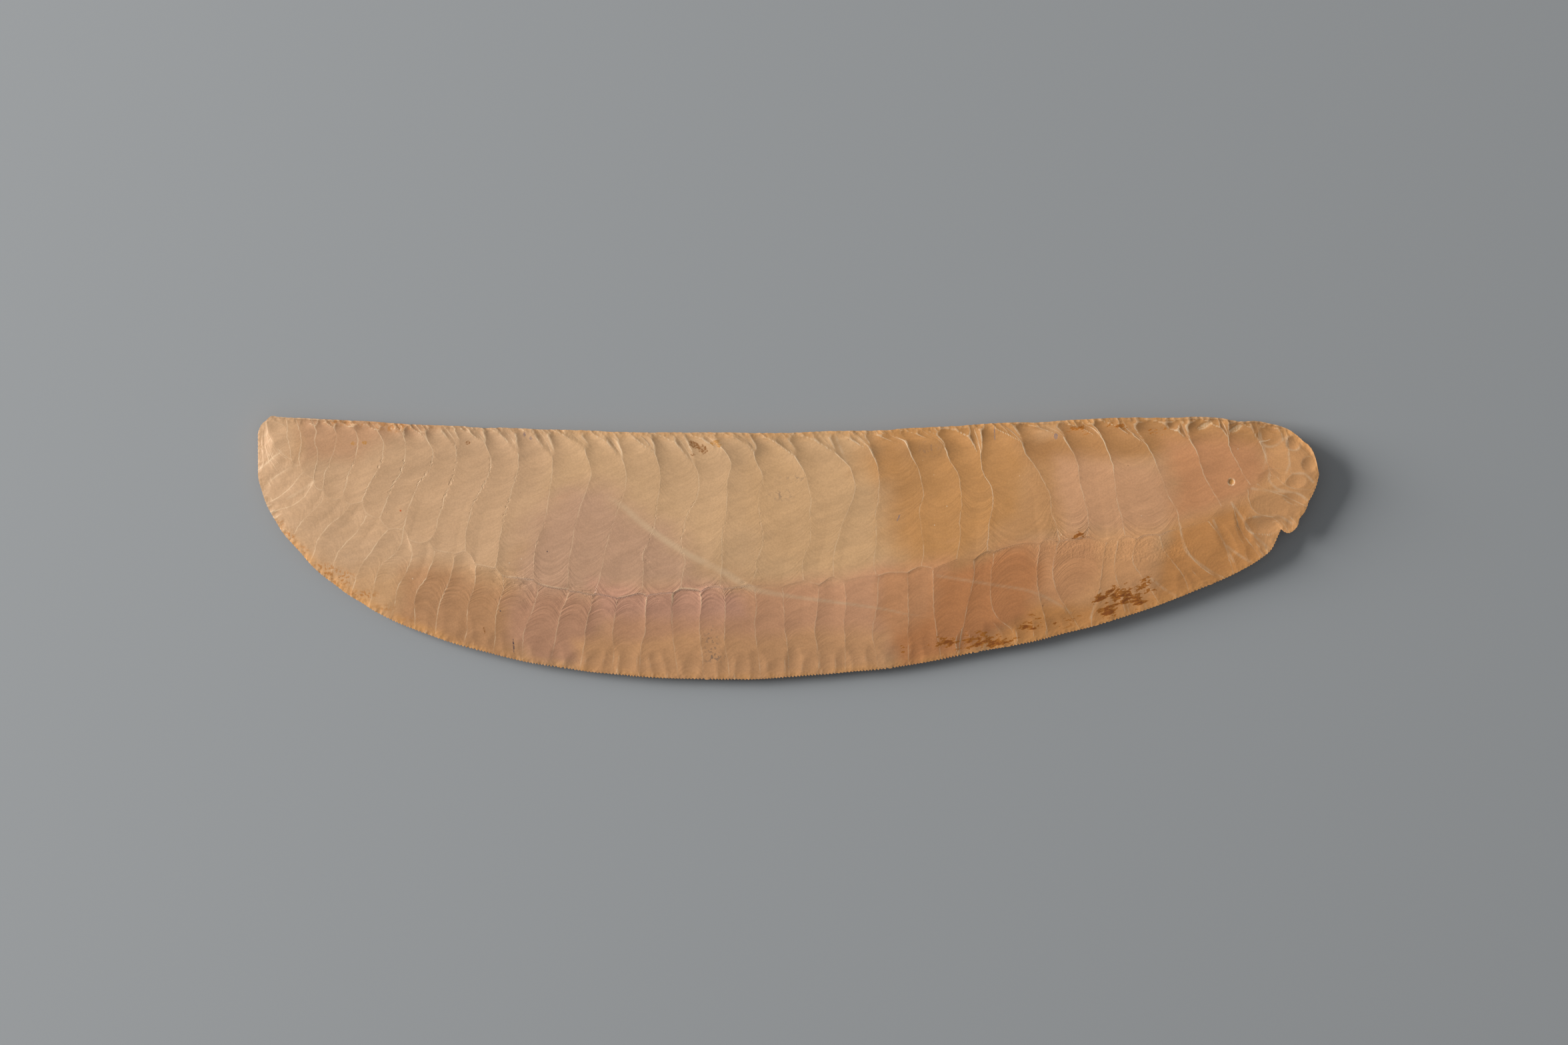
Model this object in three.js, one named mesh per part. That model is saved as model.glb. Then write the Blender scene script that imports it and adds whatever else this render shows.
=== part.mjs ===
// A ripple-flaked flint knife: one leaf-shaped blade struck and ground from a single stone.
// Two rows of parallel flake scars cover the upper face. One row runs down from the back,
// the other runs up from the cutting edge, and they meet along a crest. The underside is
// ground smooth, and the cutting edge is nibbled into fine teeth.
//
// Millimetres, +Z up. X runs from the butt to the point, Y from the cutting edge to the
// back, and the origin lies under the middle of the blade, on the plane that it rests on.

import * as THREE from 'three';

// Sizes of the blade
const bladeLength = 230;
const bladeWidth = 57.4;
const bladeThickness = 6.2; // from the resting plane to the top of the crest
const backEdgeThickness = 1.3; // the back, butt and point are left blunt
const cuttingEdgeThickness = 0.35;

// Sizes of the ground underside
const groundRise = 2.1; // how far the ground face climbs from its flat to the rim
const groundMargin = 9.5; // width of the climbing margin

// Sizes of the flake scars
const backScarDepth = 0.95; // deepest trough of a scar struck from the back
const cuttingScarDepth = 0.75; // deepest trough of a scar struck from the cutting edge
const crestStep = 0.3; // the back row ends in small steps, this far above the other row
const crestGap = 0.5; // width of the broken line between the two rows
const lobeLength = 1.6; // ridges stop this far short of the rounded scar ends

// Sizes of the teeth along the cutting edge
const toothPitch = 0.71;
const toothDepth = 0.3;
const plainEdgeStep = 1.2; // spacing of the points where the edge has no teeth

// Shares that shape the blade
const scarDepthShare = 0.14; // trough depth of a narrow scar, as a share of its width
const toothedStretchShares = [0.2, 0.875]; // of the way along the cutting outline
const bluntEndShares = [0.13, 0.09]; // how far bluntness runs in from the butt and point
const lobeLimitShare = 0.3; // most of a short column that its rounded end may take
const columnsPerScar = 4;
const groundRingShares = [0.12, 0.26, 0.4]; // of the way from the rim to the midline
const groundRingSteps = [72, 40, 24];

// Rows of each sheet, from the rim to the crest
const backRowShares = [0, 0.06, 0.14, 0.25, 0.4, 0.55, 0.7, 0.84, 0.94, 1];
const cuttingRowShares = [0.06, 0.14, 0.26, 0.42, 0.6, 0.78, 0.92, 1];

// How deep a scar is along its run from the rim to the crest
const backDepthShares = [[0, 0.35], [0.06, 0.65], [0.16, 1], [0.4, 0.85], [0.7, 0.7], [1, 0.45]];
const cuttingDepthShares = [[0, 0], [0.06, 0.45], [0.2, 1], [0.5, 0.9], [0.8, 0.65], [1, 0.4]];

// Height of the crest above the rim along its run from the butt to the point
const crestRiseShares = [[0, 0], [0.03, 0.3], [0.08, 0.62], [0.16, 0.86], [0.28, 1], [0.62, 1],
  [0.78, 0.86], [0.9, 0.6], [0.96, 0.34], [1, 0]];

// Plan outlines from the butt corner to the point, as shares of the length and width
const backOutlineShares = [[0.008, 0.982], [0.035, 1], [0.16, 0.967], [0.31, 0.943],
  [0.44, 0.935], [0.56, 0.942], [0.71, 0.972], [0.85, 0.996], [0.908, 0.991], [0.925, 0.977],
  [0.941, 0.98], [0.97, 0.95], [0.989, 0.894], [0.997, 0.83], [1, 0.776]];
const cuttingOutlineShares = [[0.008, 0.982], [0.001, 0.92], [0, 0.832], [0.005, 0.701],
  [0.021, 0.575], [0.048, 0.447], [0.088, 0.314], [0.142, 0.201], [0.211, 0.108],
  [0.311, 0.033], [0.411, 0.004], [0.461, 0], [0.561, 0.03], [0.662, 0.093], [0.762, 0.178],
  [0.85, 0.284], [0.919, 0.394], [0.947, 0.465], [0.959, 0.525], [0.965, 0.573],
  [0.972, 0.558], [0.981, 0.595], [0.989, 0.672], [0.997, 0.736], [1, 0.776]];
const crestLineShares = [[0.008, 0.982], [0.013, 0.92], [0.033, 0.829], [0.062, 0.716],
  [0.098, 0.655], [0.138, 0.565], [0.196, 0.477], [0.261, 0.377], [0.323, 0.327],
  [0.362, 0.322], [0.436, 0.352], [0.519, 0.369], [0.584, 0.399], [0.66, 0.45],
  [0.724, 0.522], [0.79, 0.53], [0.862, 0.548], [0.908, 0.656], [0.933, 0.735],
  [0.965, 0.772], [1, 0.776]];

// Ridges of the back row, as shares of the length: at the rim, a third and two thirds of
// the way down, and at the crest
const backRidgeShares = [[0.027, 0.029, 0.03, 0.033], [0.035, 0.04, 0.041, 0.04],
  [0.049, 0.055, 0.056, 0.053], [0.068, 0.075, 0.07, 0.061], [0.086, 0.093, 0.089, 0.08],
  [0.109, 0.118, 0.113, 0.098], [0.134, 0.14, 0.129, 0.115], [0.151, 0.164, 0.151, 0.138],
  [0.173, 0.187, 0.177, 0.16], [0.202, 0.219, 0.205, 0.196], [0.229, 0.246, 0.234, 0.224],
  [0.263, 0.278, 0.271, 0.261], [0.293, 0.314, 0.301, 0.293], [0.326, 0.347, 0.334, 0.323],
  [0.358, 0.379, 0.373, 0.362], [0.391, 0.414, 0.402, 0.4], [0.424, 0.445, 0.44, 0.436],
  [0.456, 0.474, 0.476, 0.464], [0.486, 0.514, 0.521, 0.519], [0.525, 0.556, 0.555, 0.544],
  [0.555, 0.584, 0.584, 0.582], [0.593, 0.622, 0.624, 0.627], [0.627, 0.653, 0.664, 0.66],
  [0.662, 0.682, 0.694, 0.69], [0.706, 0.724, 0.746, 0.762], [0.737, 0.767, 0.778, 0.787],
  [0.776, 0.8, 0.809, 0.821], [0.813, 0.838, 0.855, 0.87], [0.863, 0.88, 0.89, 0.908],
  [0.907, 0.913, 0.92, 0.933], [0.937, 0.943, 0.949, 0.953], [0.966, 0.969, 0.971, 0.974]];

// Ridges of the cutting row: the first share is of the way along the cutting outline, and
// the others are shares of the length, as above
const cuttingRidgeShares = [[0.017, 0.003, 0.007, 0.011], [0.037, 0.006, 0.014, 0.02],
  [0.051, 0.011, 0.023, 0.041], [0.067, 0.02, 0.033, 0.049], [0.076, 0.029, 0.046, 0.062],
  [0.104, 0.038, 0.048, 0.066], [0.12, 0.056, 0.067, 0.09], [0.139, 0.073, 0.085, 0.105],
  [0.169, 0.093, 0.105, 0.127], [0.183, 0.109, 0.118, 0.141], [0.202, 0.125, 0.14, 0.147],
  [0.23, 0.148, 0.159, 0.169], [0.245, 0.17, 0.18, 0.187], [0.265, 0.198, 0.202, 0.208],
  [0.291, 0.224, 0.227, 0.232], [0.327, 0.259, 0.258, 0.265], [0.336, 0.279, 0.284, 0.294],
  [0.357, 0.305, 0.31, 0.317], [0.38, 0.335, 0.336, 0.338], [0.406, 0.362, 0.365, 0.366],
  [0.438, 0.395, 0.391, 0.391], [0.457, 0.419, 0.417, 0.418], [0.478, 0.442, 0.441, 0.44],
  [0.499, 0.47, 0.469, 0.468], [0.528, 0.501, 0.497, 0.494], [0.549, 0.529, 0.526, 0.528],
  [0.574, 0.555, 0.553, 0.551], [0.597, 0.58, 0.581, 0.584], [0.621, 0.614, 0.613, 0.612],
  [0.645, 0.639, 0.636, 0.638], [0.669, 0.667, 0.669, 0.675], [0.705, 0.699, 0.69, 0.69],
  [0.734, 0.742, 0.735, 0.736], [0.767, 0.768, 0.758, 0.762], [0.785, 0.796, 0.793, 0.79],
  [0.809, 0.821, 0.812, 0.817], [0.836, 0.851, 0.838, 0.845], [0.85, 0.877, 0.867, 0.861],
  [0.876, 0.896, 0.881, 0.872], [0.887, 0.915, 0.905, 0.895], [0.903, 0.926, 0.914, 0.905],
  [0.911, 0.934, 0.925, 0.916], [0.922, 0.944, 0.932, 0.924], [0.948, 0.962, 0.944, 0.93],
  [0.979, 0.978, 0.959, 0.94], [0.99, 0.989, 0.975, 0.959]];

const { lerp } = THREE.MathUtils;

// Curves in plan
function curveThrough(shares) {
  const points = shares.map(([along, across]) =>
    new THREE.Vector3(along * bladeLength, across * bladeWidth, 0));
  const curve = new THREE.CatmullRomCurve3(points, false, 'centripetal');
  curve.arcLengthDivisions = 1500;
  return curve;
}

const backOutline = curveThrough(backOutlineShares);
const cuttingOutline = curveThrough(cuttingOutlineShares);
const crestLine = curveThrough(crestLineShares);

// The share of a curve's run at which it passes a place along the length
function shareAtLength(curve, along) {
  let low = 0;
  let high = 1;
  for (let halving = 0; halving < 30; halving += 1) {
    const middle = (low + high) / 2;
    if (curve.getPointAt(middle).x < along) low = middle;
    else high = middle;
  }
  return (low + high) / 2;
}

// Reads a table of [place, value] pairs with straight runs between them
function readShares(table, place) {
  const next = Math.max(1, table.findIndex(([at]) => at >= place));
  const [fromPlace, fromValue] = table[next - 1];
  const [toPlace, toValue] = table[next];
  return lerp(fromValue, toValue, (place - fromPlace) / (toPlace - fromPlace));
}

// Heights of the rim's upper line and of the crest
const backRimHeight = () => groundRise + backEdgeThickness;

function cuttingRimHeight(share) {
  const [buttShare, pointShare] = bluntEndShares;
  const butt = Math.max(0, 1 - share / buttShare);
  const point = Math.max(0, 1 - (1 - share) / pointShare);
  const bluntness = Math.max(butt, point) ** 2;
  return groundRise + lerp(cuttingEdgeThickness, backEdgeThickness, bluntness);
}

function crestHeight(share) {
  const rim = backRimHeight();
  return rim + (bladeThickness - rim) * readShares(crestRiseShares, share);
}

// The mesh: vertices, and strips of faces between rows of them
const vertices = [];
const faces = [];

function addVertex(x, y, z, keys) {
  vertices.push(x, y, z);
  return { index: vertices.length / 3 - 1, ...keys };
}

function addFace(a, b, c) {
  const open = a.index !== b.index && b.index !== c.index && c.index !== a.index;
  if (open) faces.push(a.index, b.index, c.index);
}

// Joins two rows that both run from the butt to the point, in the order of one of their keys
function stitch(upperRow, lowerRow, key) {
  let i = 0;
  let j = 0;
  const lastUpper = upperRow.length - 1;
  const lastLower = lowerRow.length - 1;
  while (i < lastUpper || j < lastLower) {
    const upperNext = j === lastLower
      || (i < lastUpper && upperRow[i + 1][key] <= lowerRow[j + 1][key]);
    if (upperNext) {
      addFace(upperRow[i], lowerRow[j], upperRow[i + 1]);
      i += 1;
    } else {
      addFace(upperRow[i], lowerRow[j], lowerRow[j + 1]);
      j += 1;
    }
  }
}

function stitchAll(rows, key) {
  for (let row = 1; row < rows.length; row += 1) stitch(rows[row - 1], rows[row], key);
}

// The blade's two end points, on the front and on the back
function endPoint(share, height) {
  const point = backOutline.getPointAt(share);
  const column = share === 0 ? 0 : Infinity;
  return addVertex(point.x, point.y, height, { column, rim: share, crest: share });
}

const frontEnds = [endPoint(0, backRimHeight()), endPoint(1, backRimHeight())];
const groundEnds = [endPoint(0, groundRise), endPoint(1, groundRise)];

// A ridge between two scars, from its place on the rim to its place on the crest
function makeRidge(outline, rim, [first, second, atCrest]) {
  const crest = shareAtLength(crestLine, atCrest * bladeLength);
  const start = outline.getPointAt(rim);
  const end = crestLine.getPointAt(crest);
  const between = (share, along) =>
    new THREE.Vector3(along * bladeLength, lerp(start.y, end.y, share), 0);
  const points = [start, between(1 / 3, first), between(2 / 3, second), end];
  const curve = new THREE.CatmullRomCurve3(points, false, 'centripetal');
  return { rim, crest, at: (run) => curve.getPoint(run) };
}

function makeEndRidge(outline, share) {
  return { rim: share, crest: share, at: () => outline.getPointAt(share) };
}

// A place inside a scar: across it from ridge to ridge, and along its run to the crest
function placeInScar(outline, left, right, across, run) {
  const point = left.at(run).lerp(right.at(run), across);
  const rimPoint = outline.getPointAt(lerp(left.rim, right.rim, across));
  const crestPoint = crestLine.getPointAt(lerp(left.crest, right.crest, across));
  rimPoint.sub(left.at(0).lerp(right.at(0), across));
  crestPoint.sub(left.at(1).lerp(right.at(1), across));
  return point.addScaledVector(rimPoint, 1 - run).addScaledVector(crestPoint, run);
}

// One sheet of scars, as rows of vertices from the rim to the crest
function makeSheet({ outline, ridges, rowShares, depthShares, depth, rimHeight, drop }) {
  const rows = rowShares.map(() => [frontEnds[0]]);
  for (let scar = 1; scar < ridges.length; scar += 1) {
    const left = ridges[scar - 1];
    const right = ridges[scar];
    for (let column = 0; column < columnsPerScar; column += 1) {
      if (scar === 1 && column === 0) continue;
      const across = column / columnsPerScar;
      const trough = 4 * across * (1 - across);
      const rim = lerp(left.rim, right.rim, across);
      const crest = lerp(left.crest, right.crest, across);
      const reach = outline.getPointAt(rim).distanceTo(crestLine.getPointAt(crest));
      const pullBack = crestGap / 2 + lobeLength * (1 - trough);
      const end = 1 - Math.min(pullBack / reach, lobeLimitShare);
      const rise = crestHeight(crest) - drop - rimHeight(rim);
      rowShares.forEach((share, row) => {
        const run = share * end;
        const place = placeInScar(outline, left, right, across, run);
        const width = left.at(run).distanceTo(right.at(run));
        const deepest = Math.min(width * scarDepthShare, depth);
        const fall = deepest * trough * readShares(depthShares, share);
        const lens = rimHeight(rim) + rise * (1 - (1 - run) ** 2);
        const keys = { column: scar + across, rim, crest };
        rows[row].push(addVertex(place.x, place.y, lens - fall, keys));
      });
    }
  }
  rows.forEach((row) => row.push(frontEnds[1]));
  return rows;
}

const backRidges = [makeEndRidge(backOutline, 0),
  ...backRidgeShares.map(([rim, ...rest]) =>
    makeRidge(backOutline, shareAtLength(backOutline, rim * bladeLength), rest)),
  makeEndRidge(backOutline, 1)];
const cuttingRidges = [makeEndRidge(cuttingOutline, 0),
  ...cuttingRidgeShares.map(([rim, ...rest]) => makeRidge(cuttingOutline, rim, rest)),
  makeEndRidge(cuttingOutline, 1)];

const backSheet = makeSheet({
  outline: backOutline,
  ridges: backRidges,
  rowShares: backRowShares,
  depthShares: backDepthShares,
  depth: backScarDepth,
  rimHeight: backRimHeight,
  drop: 0,
});
const cuttingSheet = makeSheet({
  outline: cuttingOutline,
  ridges: cuttingRidges,
  rowShares: cuttingRowShares,
  depthShares: cuttingDepthShares,
  depth: cuttingScarDepth,
  rimHeight: cuttingRimHeight,
  drop: crestStep,
});

// The cutting edge: the tip and the notch of each tooth, and plain ends beside them
function cuttingEdgePlaces() {
  const run = cuttingOutline.getLength();
  const [firstShare, lastShare] = toothedStretchShares;
  const teeth = Math.round((lastShare - firstShare) * run / toothPitch);
  const places = [];
  const addPlain = (from, to) => {
    const steps = Math.ceil((to - from) * run / plainEdgeStep);
    for (let step = 1; step < steps; step += 1) {
      places.push({ share: lerp(from, to, step / steps), inset: 0 });
    }
  };
  addPlain(0, firstShare);
  for (let tooth = 0; tooth <= teeth; tooth += 1) {
    places.push({ share: lerp(firstShare, lastShare, tooth / teeth), inset: 0 });
    if (tooth === teeth) break;
    const notch = lerp(firstShare, lastShare, (tooth + 0.5) / teeth);
    places.push({ share: notch, inset: toothDepth });
  }
  addPlain(lastShare, 1);
  return places;
}

function makeCuttingEdgeRow(places, ends, heightAt) {
  const row = places.map(({ share, inset }) => {
    const point = cuttingOutline.getPointAt(share);
    const tangent = cuttingOutline.getTangentAt(share);
    const x = point.x - tangent.y * inset;
    const y = point.y + tangent.x * inset;
    return addVertex(x, y, heightAt(share), { rim: share });
  });
  return [ends[0], ...row, ends[1]];
}

const edgePlaces = cuttingEdgePlaces();
const edgeTopRow = makeCuttingEdgeRow(edgePlaces, frontEnds, cuttingRimHeight);
const edgeGroundRow = makeCuttingEdgeRow(edgePlaces, groundEnds, () => groundRise);

// The ground underside: rings that step in from the rim, level where they reach the flat
const outlinePoints = [...backOutline.getSpacedPoints(600), ...cuttingOutline.getSpacedPoints(600)];

function groundHeight(point) {
  const inward = Math.min(...outlinePoints.map((other) => other.distanceTo(point)));
  return groundRise * Math.max(0, 1 - inward / groundMargin) ** 2;
}

function makeGroundRing(outline, insetShare, steps) {
  const ring = [groundEnds[0]];
  for (let step = 1; step < steps; step += 1) {
    const rim = step / steps;
    const middle = backOutline.getPointAt(rim).lerp(cuttingOutline.getPointAt(rim), 0.5);
    const point = outline.getPointAt(rim).lerp(middle, insetShare);
    ring.push(addVertex(point.x, point.y, groundHeight(point), { rim }));
  }
  return [...ring, groundEnds[1]];
}

const makeGroundRings = (outline) => groundRingShares.map((share, ring) =>
  makeGroundRing(outline, share, groundRingSteps[ring]));
const cuttingRings = makeGroundRings(cuttingOutline);
const backRings = makeGroundRings(backOutline).reverse();

// Under the back's rim, the ground face has a vertex below each one of the front
const backGroundRow = backSheet[0].slice(1, -1).map(({ rim }) => {
  const point = backOutline.getPointAt(rim);
  return addVertex(point.x, point.y, groundRise, { rim });
});
backGroundRow.unshift(groundEnds[0]);
backGroundRow.push(groundEnds[1]);

// All rows in order round the blade: back scars, cutting scars, cutting edge, ground face
cuttingSheet.reverse();
stitchAll(backSheet, 'column');
stitch(backSheet.at(-1), cuttingSheet[0], 'crest');
stitchAll(cuttingSheet, 'column');
stitchAll([cuttingSheet.at(-1), edgeTopRow, edgeGroundRow, ...cuttingRings, ...backRings,
  backGroundRow, backSheet[0]], 'rim');

const geometry = new THREE.BufferGeometry();
geometry.setAttribute('position', new THREE.Float32BufferAttribute(vertices, 3));
geometry.setIndex(faces);
geometry.computeVertexNormals();
geometry.computeBoundingBox();
const { min: lowCorner, max: highCorner } = geometry.boundingBox;

const flint = new THREE.MeshStandardMaterial({ color: 0xbe9468, roughness: 0.5, metalness: 0 });
const blade = new THREE.Mesh(geometry, flint);
blade.name = 'flint_blade';
blade.position.addVectors(lowCorner, highCorner).divideScalar(-2).setZ(-lowCorner.z);

const knife = new THREE.Group();
knife.add(blade);

export default knife;
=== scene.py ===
import math

import bpy
import numpy as np
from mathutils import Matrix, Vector
from mathutils.kdtree import KDTree


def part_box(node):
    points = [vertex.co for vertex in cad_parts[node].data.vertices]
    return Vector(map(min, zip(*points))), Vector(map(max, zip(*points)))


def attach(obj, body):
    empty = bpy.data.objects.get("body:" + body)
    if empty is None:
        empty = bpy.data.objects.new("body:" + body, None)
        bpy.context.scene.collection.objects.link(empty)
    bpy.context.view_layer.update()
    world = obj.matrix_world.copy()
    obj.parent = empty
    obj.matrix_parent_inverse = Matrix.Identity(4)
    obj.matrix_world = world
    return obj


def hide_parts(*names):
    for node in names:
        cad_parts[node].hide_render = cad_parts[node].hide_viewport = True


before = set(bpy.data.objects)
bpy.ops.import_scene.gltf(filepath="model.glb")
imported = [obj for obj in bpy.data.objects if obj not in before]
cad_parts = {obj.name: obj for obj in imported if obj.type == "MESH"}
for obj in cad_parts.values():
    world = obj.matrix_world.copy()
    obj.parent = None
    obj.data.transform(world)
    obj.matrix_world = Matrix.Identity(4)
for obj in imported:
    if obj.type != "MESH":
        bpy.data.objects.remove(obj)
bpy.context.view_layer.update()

bladeLow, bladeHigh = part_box("flint_blade")
print("frame loaded")

# Where the photograph puts the blade, in its 2352 by 1568 pixels
photo = {"width": 2352, "height": 1568, "left": 384, "right": 1980, "top": 623, "bottom": 1021}
pixel = (bladeHigh[0] - bladeLow[0]) / (photo["right"] - photo["left"])
bladeMiddle = ((photo["left"] + photo["right"]) / 2, (photo["top"] + photo["bottom"]) / 2)


def fromPhoto(points):
    points = np.asarray(points, float)
    x = (points[..., 0] - bladeMiddle[0]) * pixel
    y = (bladeMiddle[1] - points[..., 1]) * pixel
    return np.stack([x, y], axis=-1)


# Camera: straight above the blade, far enough away for a flat view
cameraSetup = {"focalLength": 100.0, "sensor": 36.0, "near": 0.01, "far": 20}
bpy.ops.object.select_all(action="DESELECT")
aim = fromPhoto((photo["width"] / 2, photo["height"] / 2))
cameraRise = pixel * photo["width"] * cameraSetup["focalLength"] / cameraSetup["sensor"]
bpy.ops.object.camera_add(location=(aim[0], aim[1], cameraRise + bladeHigh[2]), rotation=(0, 0, 0))
camera = bpy.context.object
camera.name = "camera"
camera.data.lens = cameraSetup["focalLength"]
camera.data.sensor_width = cameraSetup["sensor"]
camera.data.clip_start = cameraSetup["near"]
camera.data.clip_end = cameraSetup["far"]
bpy.context.scene.camera = camera
print("camera ready")

# The blade: sizes in metres, outlines and ridges as pixels of the photograph
blade = {
    "seed": 11,
    "crestHeight": bladeHigh[2] - 0.00002,
    "groundMargin": 0.0105,
    "backThickness": 0.0013,
    "edgeThickness": 0.00035,
    "bluntButt": 0.16,
    "bluntPoint": 0.2,
    "leastEdge": 0.6,
    "cellSize": 0.00042,
    "rimCell": 0.0004,
    "rowCrowding": 1.25,
    "groundRows": 10,
    "groundSpacing": 4,
    "pathPoints": 3000,
    "ridgePoints": 41,
    "ridgeDraft": 200,
    "ridgeJitter": 0.00011,
    "calmRidge": 8,
    "crestJitter": 0.0001,
    "backJitter": 0.00012,
    "backCalm": 20,
    "backJitterReach": 13,
    "calmButt": 0.007,
    "calmPoint": 0.014,
    "calmFlakes": 0.016,
    "weldGap": 0.000001,
    "crispTurn": 4,
    "foldedTurn": 40,
}
# The two rows of scars: the smooth swell under them, and how deep they and their retouch are cut
backRow = {"rows": 64, "reach": 0.030, "lensPower": 1.25, "depth": 0.0005, "arch": (0.015, 0.17),
           "retouchStart": 0.4}
cuttingRow = {"rows": 44, "reach": 0.019, "lensPower": 1.45, "depth": 0.0003, "arch": (-0.05, 0.12),
              "retouchStart": 0.9}
# The troughs between two ridges, the line where the rows meet, the back row's hooded heads, and the teeth
trough = {"depthShare": 0.06, "lean": 0.85, "vary": (0.75, 1.15), "waveStart": (0, 6.28), "waves": (5, 14),
          "waveSize": 0.45, "waveFrom": 0.8, "waveRise": 3, "roughMiddle": (1655, 832),
          "roughHalf": (95, 24), "roughFrom": 0.3, "roughLeast": 0.05}
crest = {"lobes": (0.6, 1.3), "arches": (0.5, 1.4), "lift": 0.4, "reach": 0.0005, "look": 0.004,
         "jitterReach": 4, "steps": (-0.6, 1.8), "stepJitter": 0.3, "stepJitterReach": 6, "stepReach": 0.0035}
hood = {"run": 0.22, "fade": 0.1}
teeth = {"pitch": 0.00071, "depth": 0.0003, "reach": 0.0002, "cuts": 2, "shortest": 0.00005, "power": 1.5,
         "ramps": (50, 30), "look": 3, "sways": ((0.22, 61), (0.15, 173)), "wearSway": (0.8, 0.2, 97)}

backOutline = [
    (397, 630), (404, 624), (420, 625), (440, 626), (480, 628), (520, 630), (560, 632),
    (600, 635), (640, 637), (680, 638), (720, 641), (760, 641), (800, 643), (840, 644),
    (880, 645), (920, 647), (960, 648), (1000, 648), (1080, 648), (1160, 649), (1200, 648),
    (1240, 646), (1320, 645), (1360, 642), (1400, 640), (1440, 638), (1480, 635), (1520, 633),
    (1560, 633), (1600, 630), (1640, 628), (1680, 626), (1760, 626), (1800, 625), (1835, 627),
    (1848, 630), (1862, 632), (1880, 631), (1892, 632), (1910, 636), (1922, 639), (1934, 644),
    (1946, 652), (1955, 660), (1964, 667), (1970, 675), (1975, 688), (1978, 702), (1980, 712)]
cuttingOutline = [
    (397, 630), (390, 637), (386, 648), (384, 662), (384, 696), (386, 718), (390, 733),
    (397, 755), (404, 769), (411, 781), (422, 799), (436, 815), (448, 828), (466, 849),
    (485, 866), (500, 877), (520, 892), (540, 904), (560, 917), (600, 937), (640, 952),
    (680, 966), (720, 977), (760, 987), (800, 996), (840, 1002), (880, 1008), (920, 1012),
    (960, 1016), (1000, 1018), (1040, 1019), (1080, 1020), (1120, 1020), (1160, 1018),
    (1200, 1015), (1240, 1012), (1280, 1008), (1320, 1005), (1360, 999), (1400, 992),
    (1440, 984), (1480, 976), (1520, 969), (1560, 961), (1600, 950), (1640, 940), (1680, 928),
    (1720, 915), (1760, 900), (1800, 884), (1840, 867), (1880, 846), (1895, 836), (1907, 826),
    (1912, 818), (1919, 802), (1924, 793), (1929, 797), (1935, 799), (1942, 795), (1948, 787),
    (1950, 778), (1957, 769), (1961, 761), (1964, 752), (1970, 742), (1976, 728), (1980, 712)]
crestOutline = [
    (397, 630), (404, 655), (418, 676), (437, 692), (455, 704), (470, 722), (483, 738),
    (512, 749), (540, 756), (568, 780), (604, 797), (640, 817), (697, 831), (741, 856),
    (800, 871), (852, 884), (900, 892), (962, 892), (1022, 885), (1080, 881), (1130, 878),
    (1212, 874), (1262, 868), (1316, 862), (1384, 853), (1437, 842), (1486, 828), (1540, 814),
    (1610, 809), (1694, 806), (1760, 795), (1812, 777), (1836, 760), (1877, 728), (1905, 716),
    (1940, 711), (1980, 712)]
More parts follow.
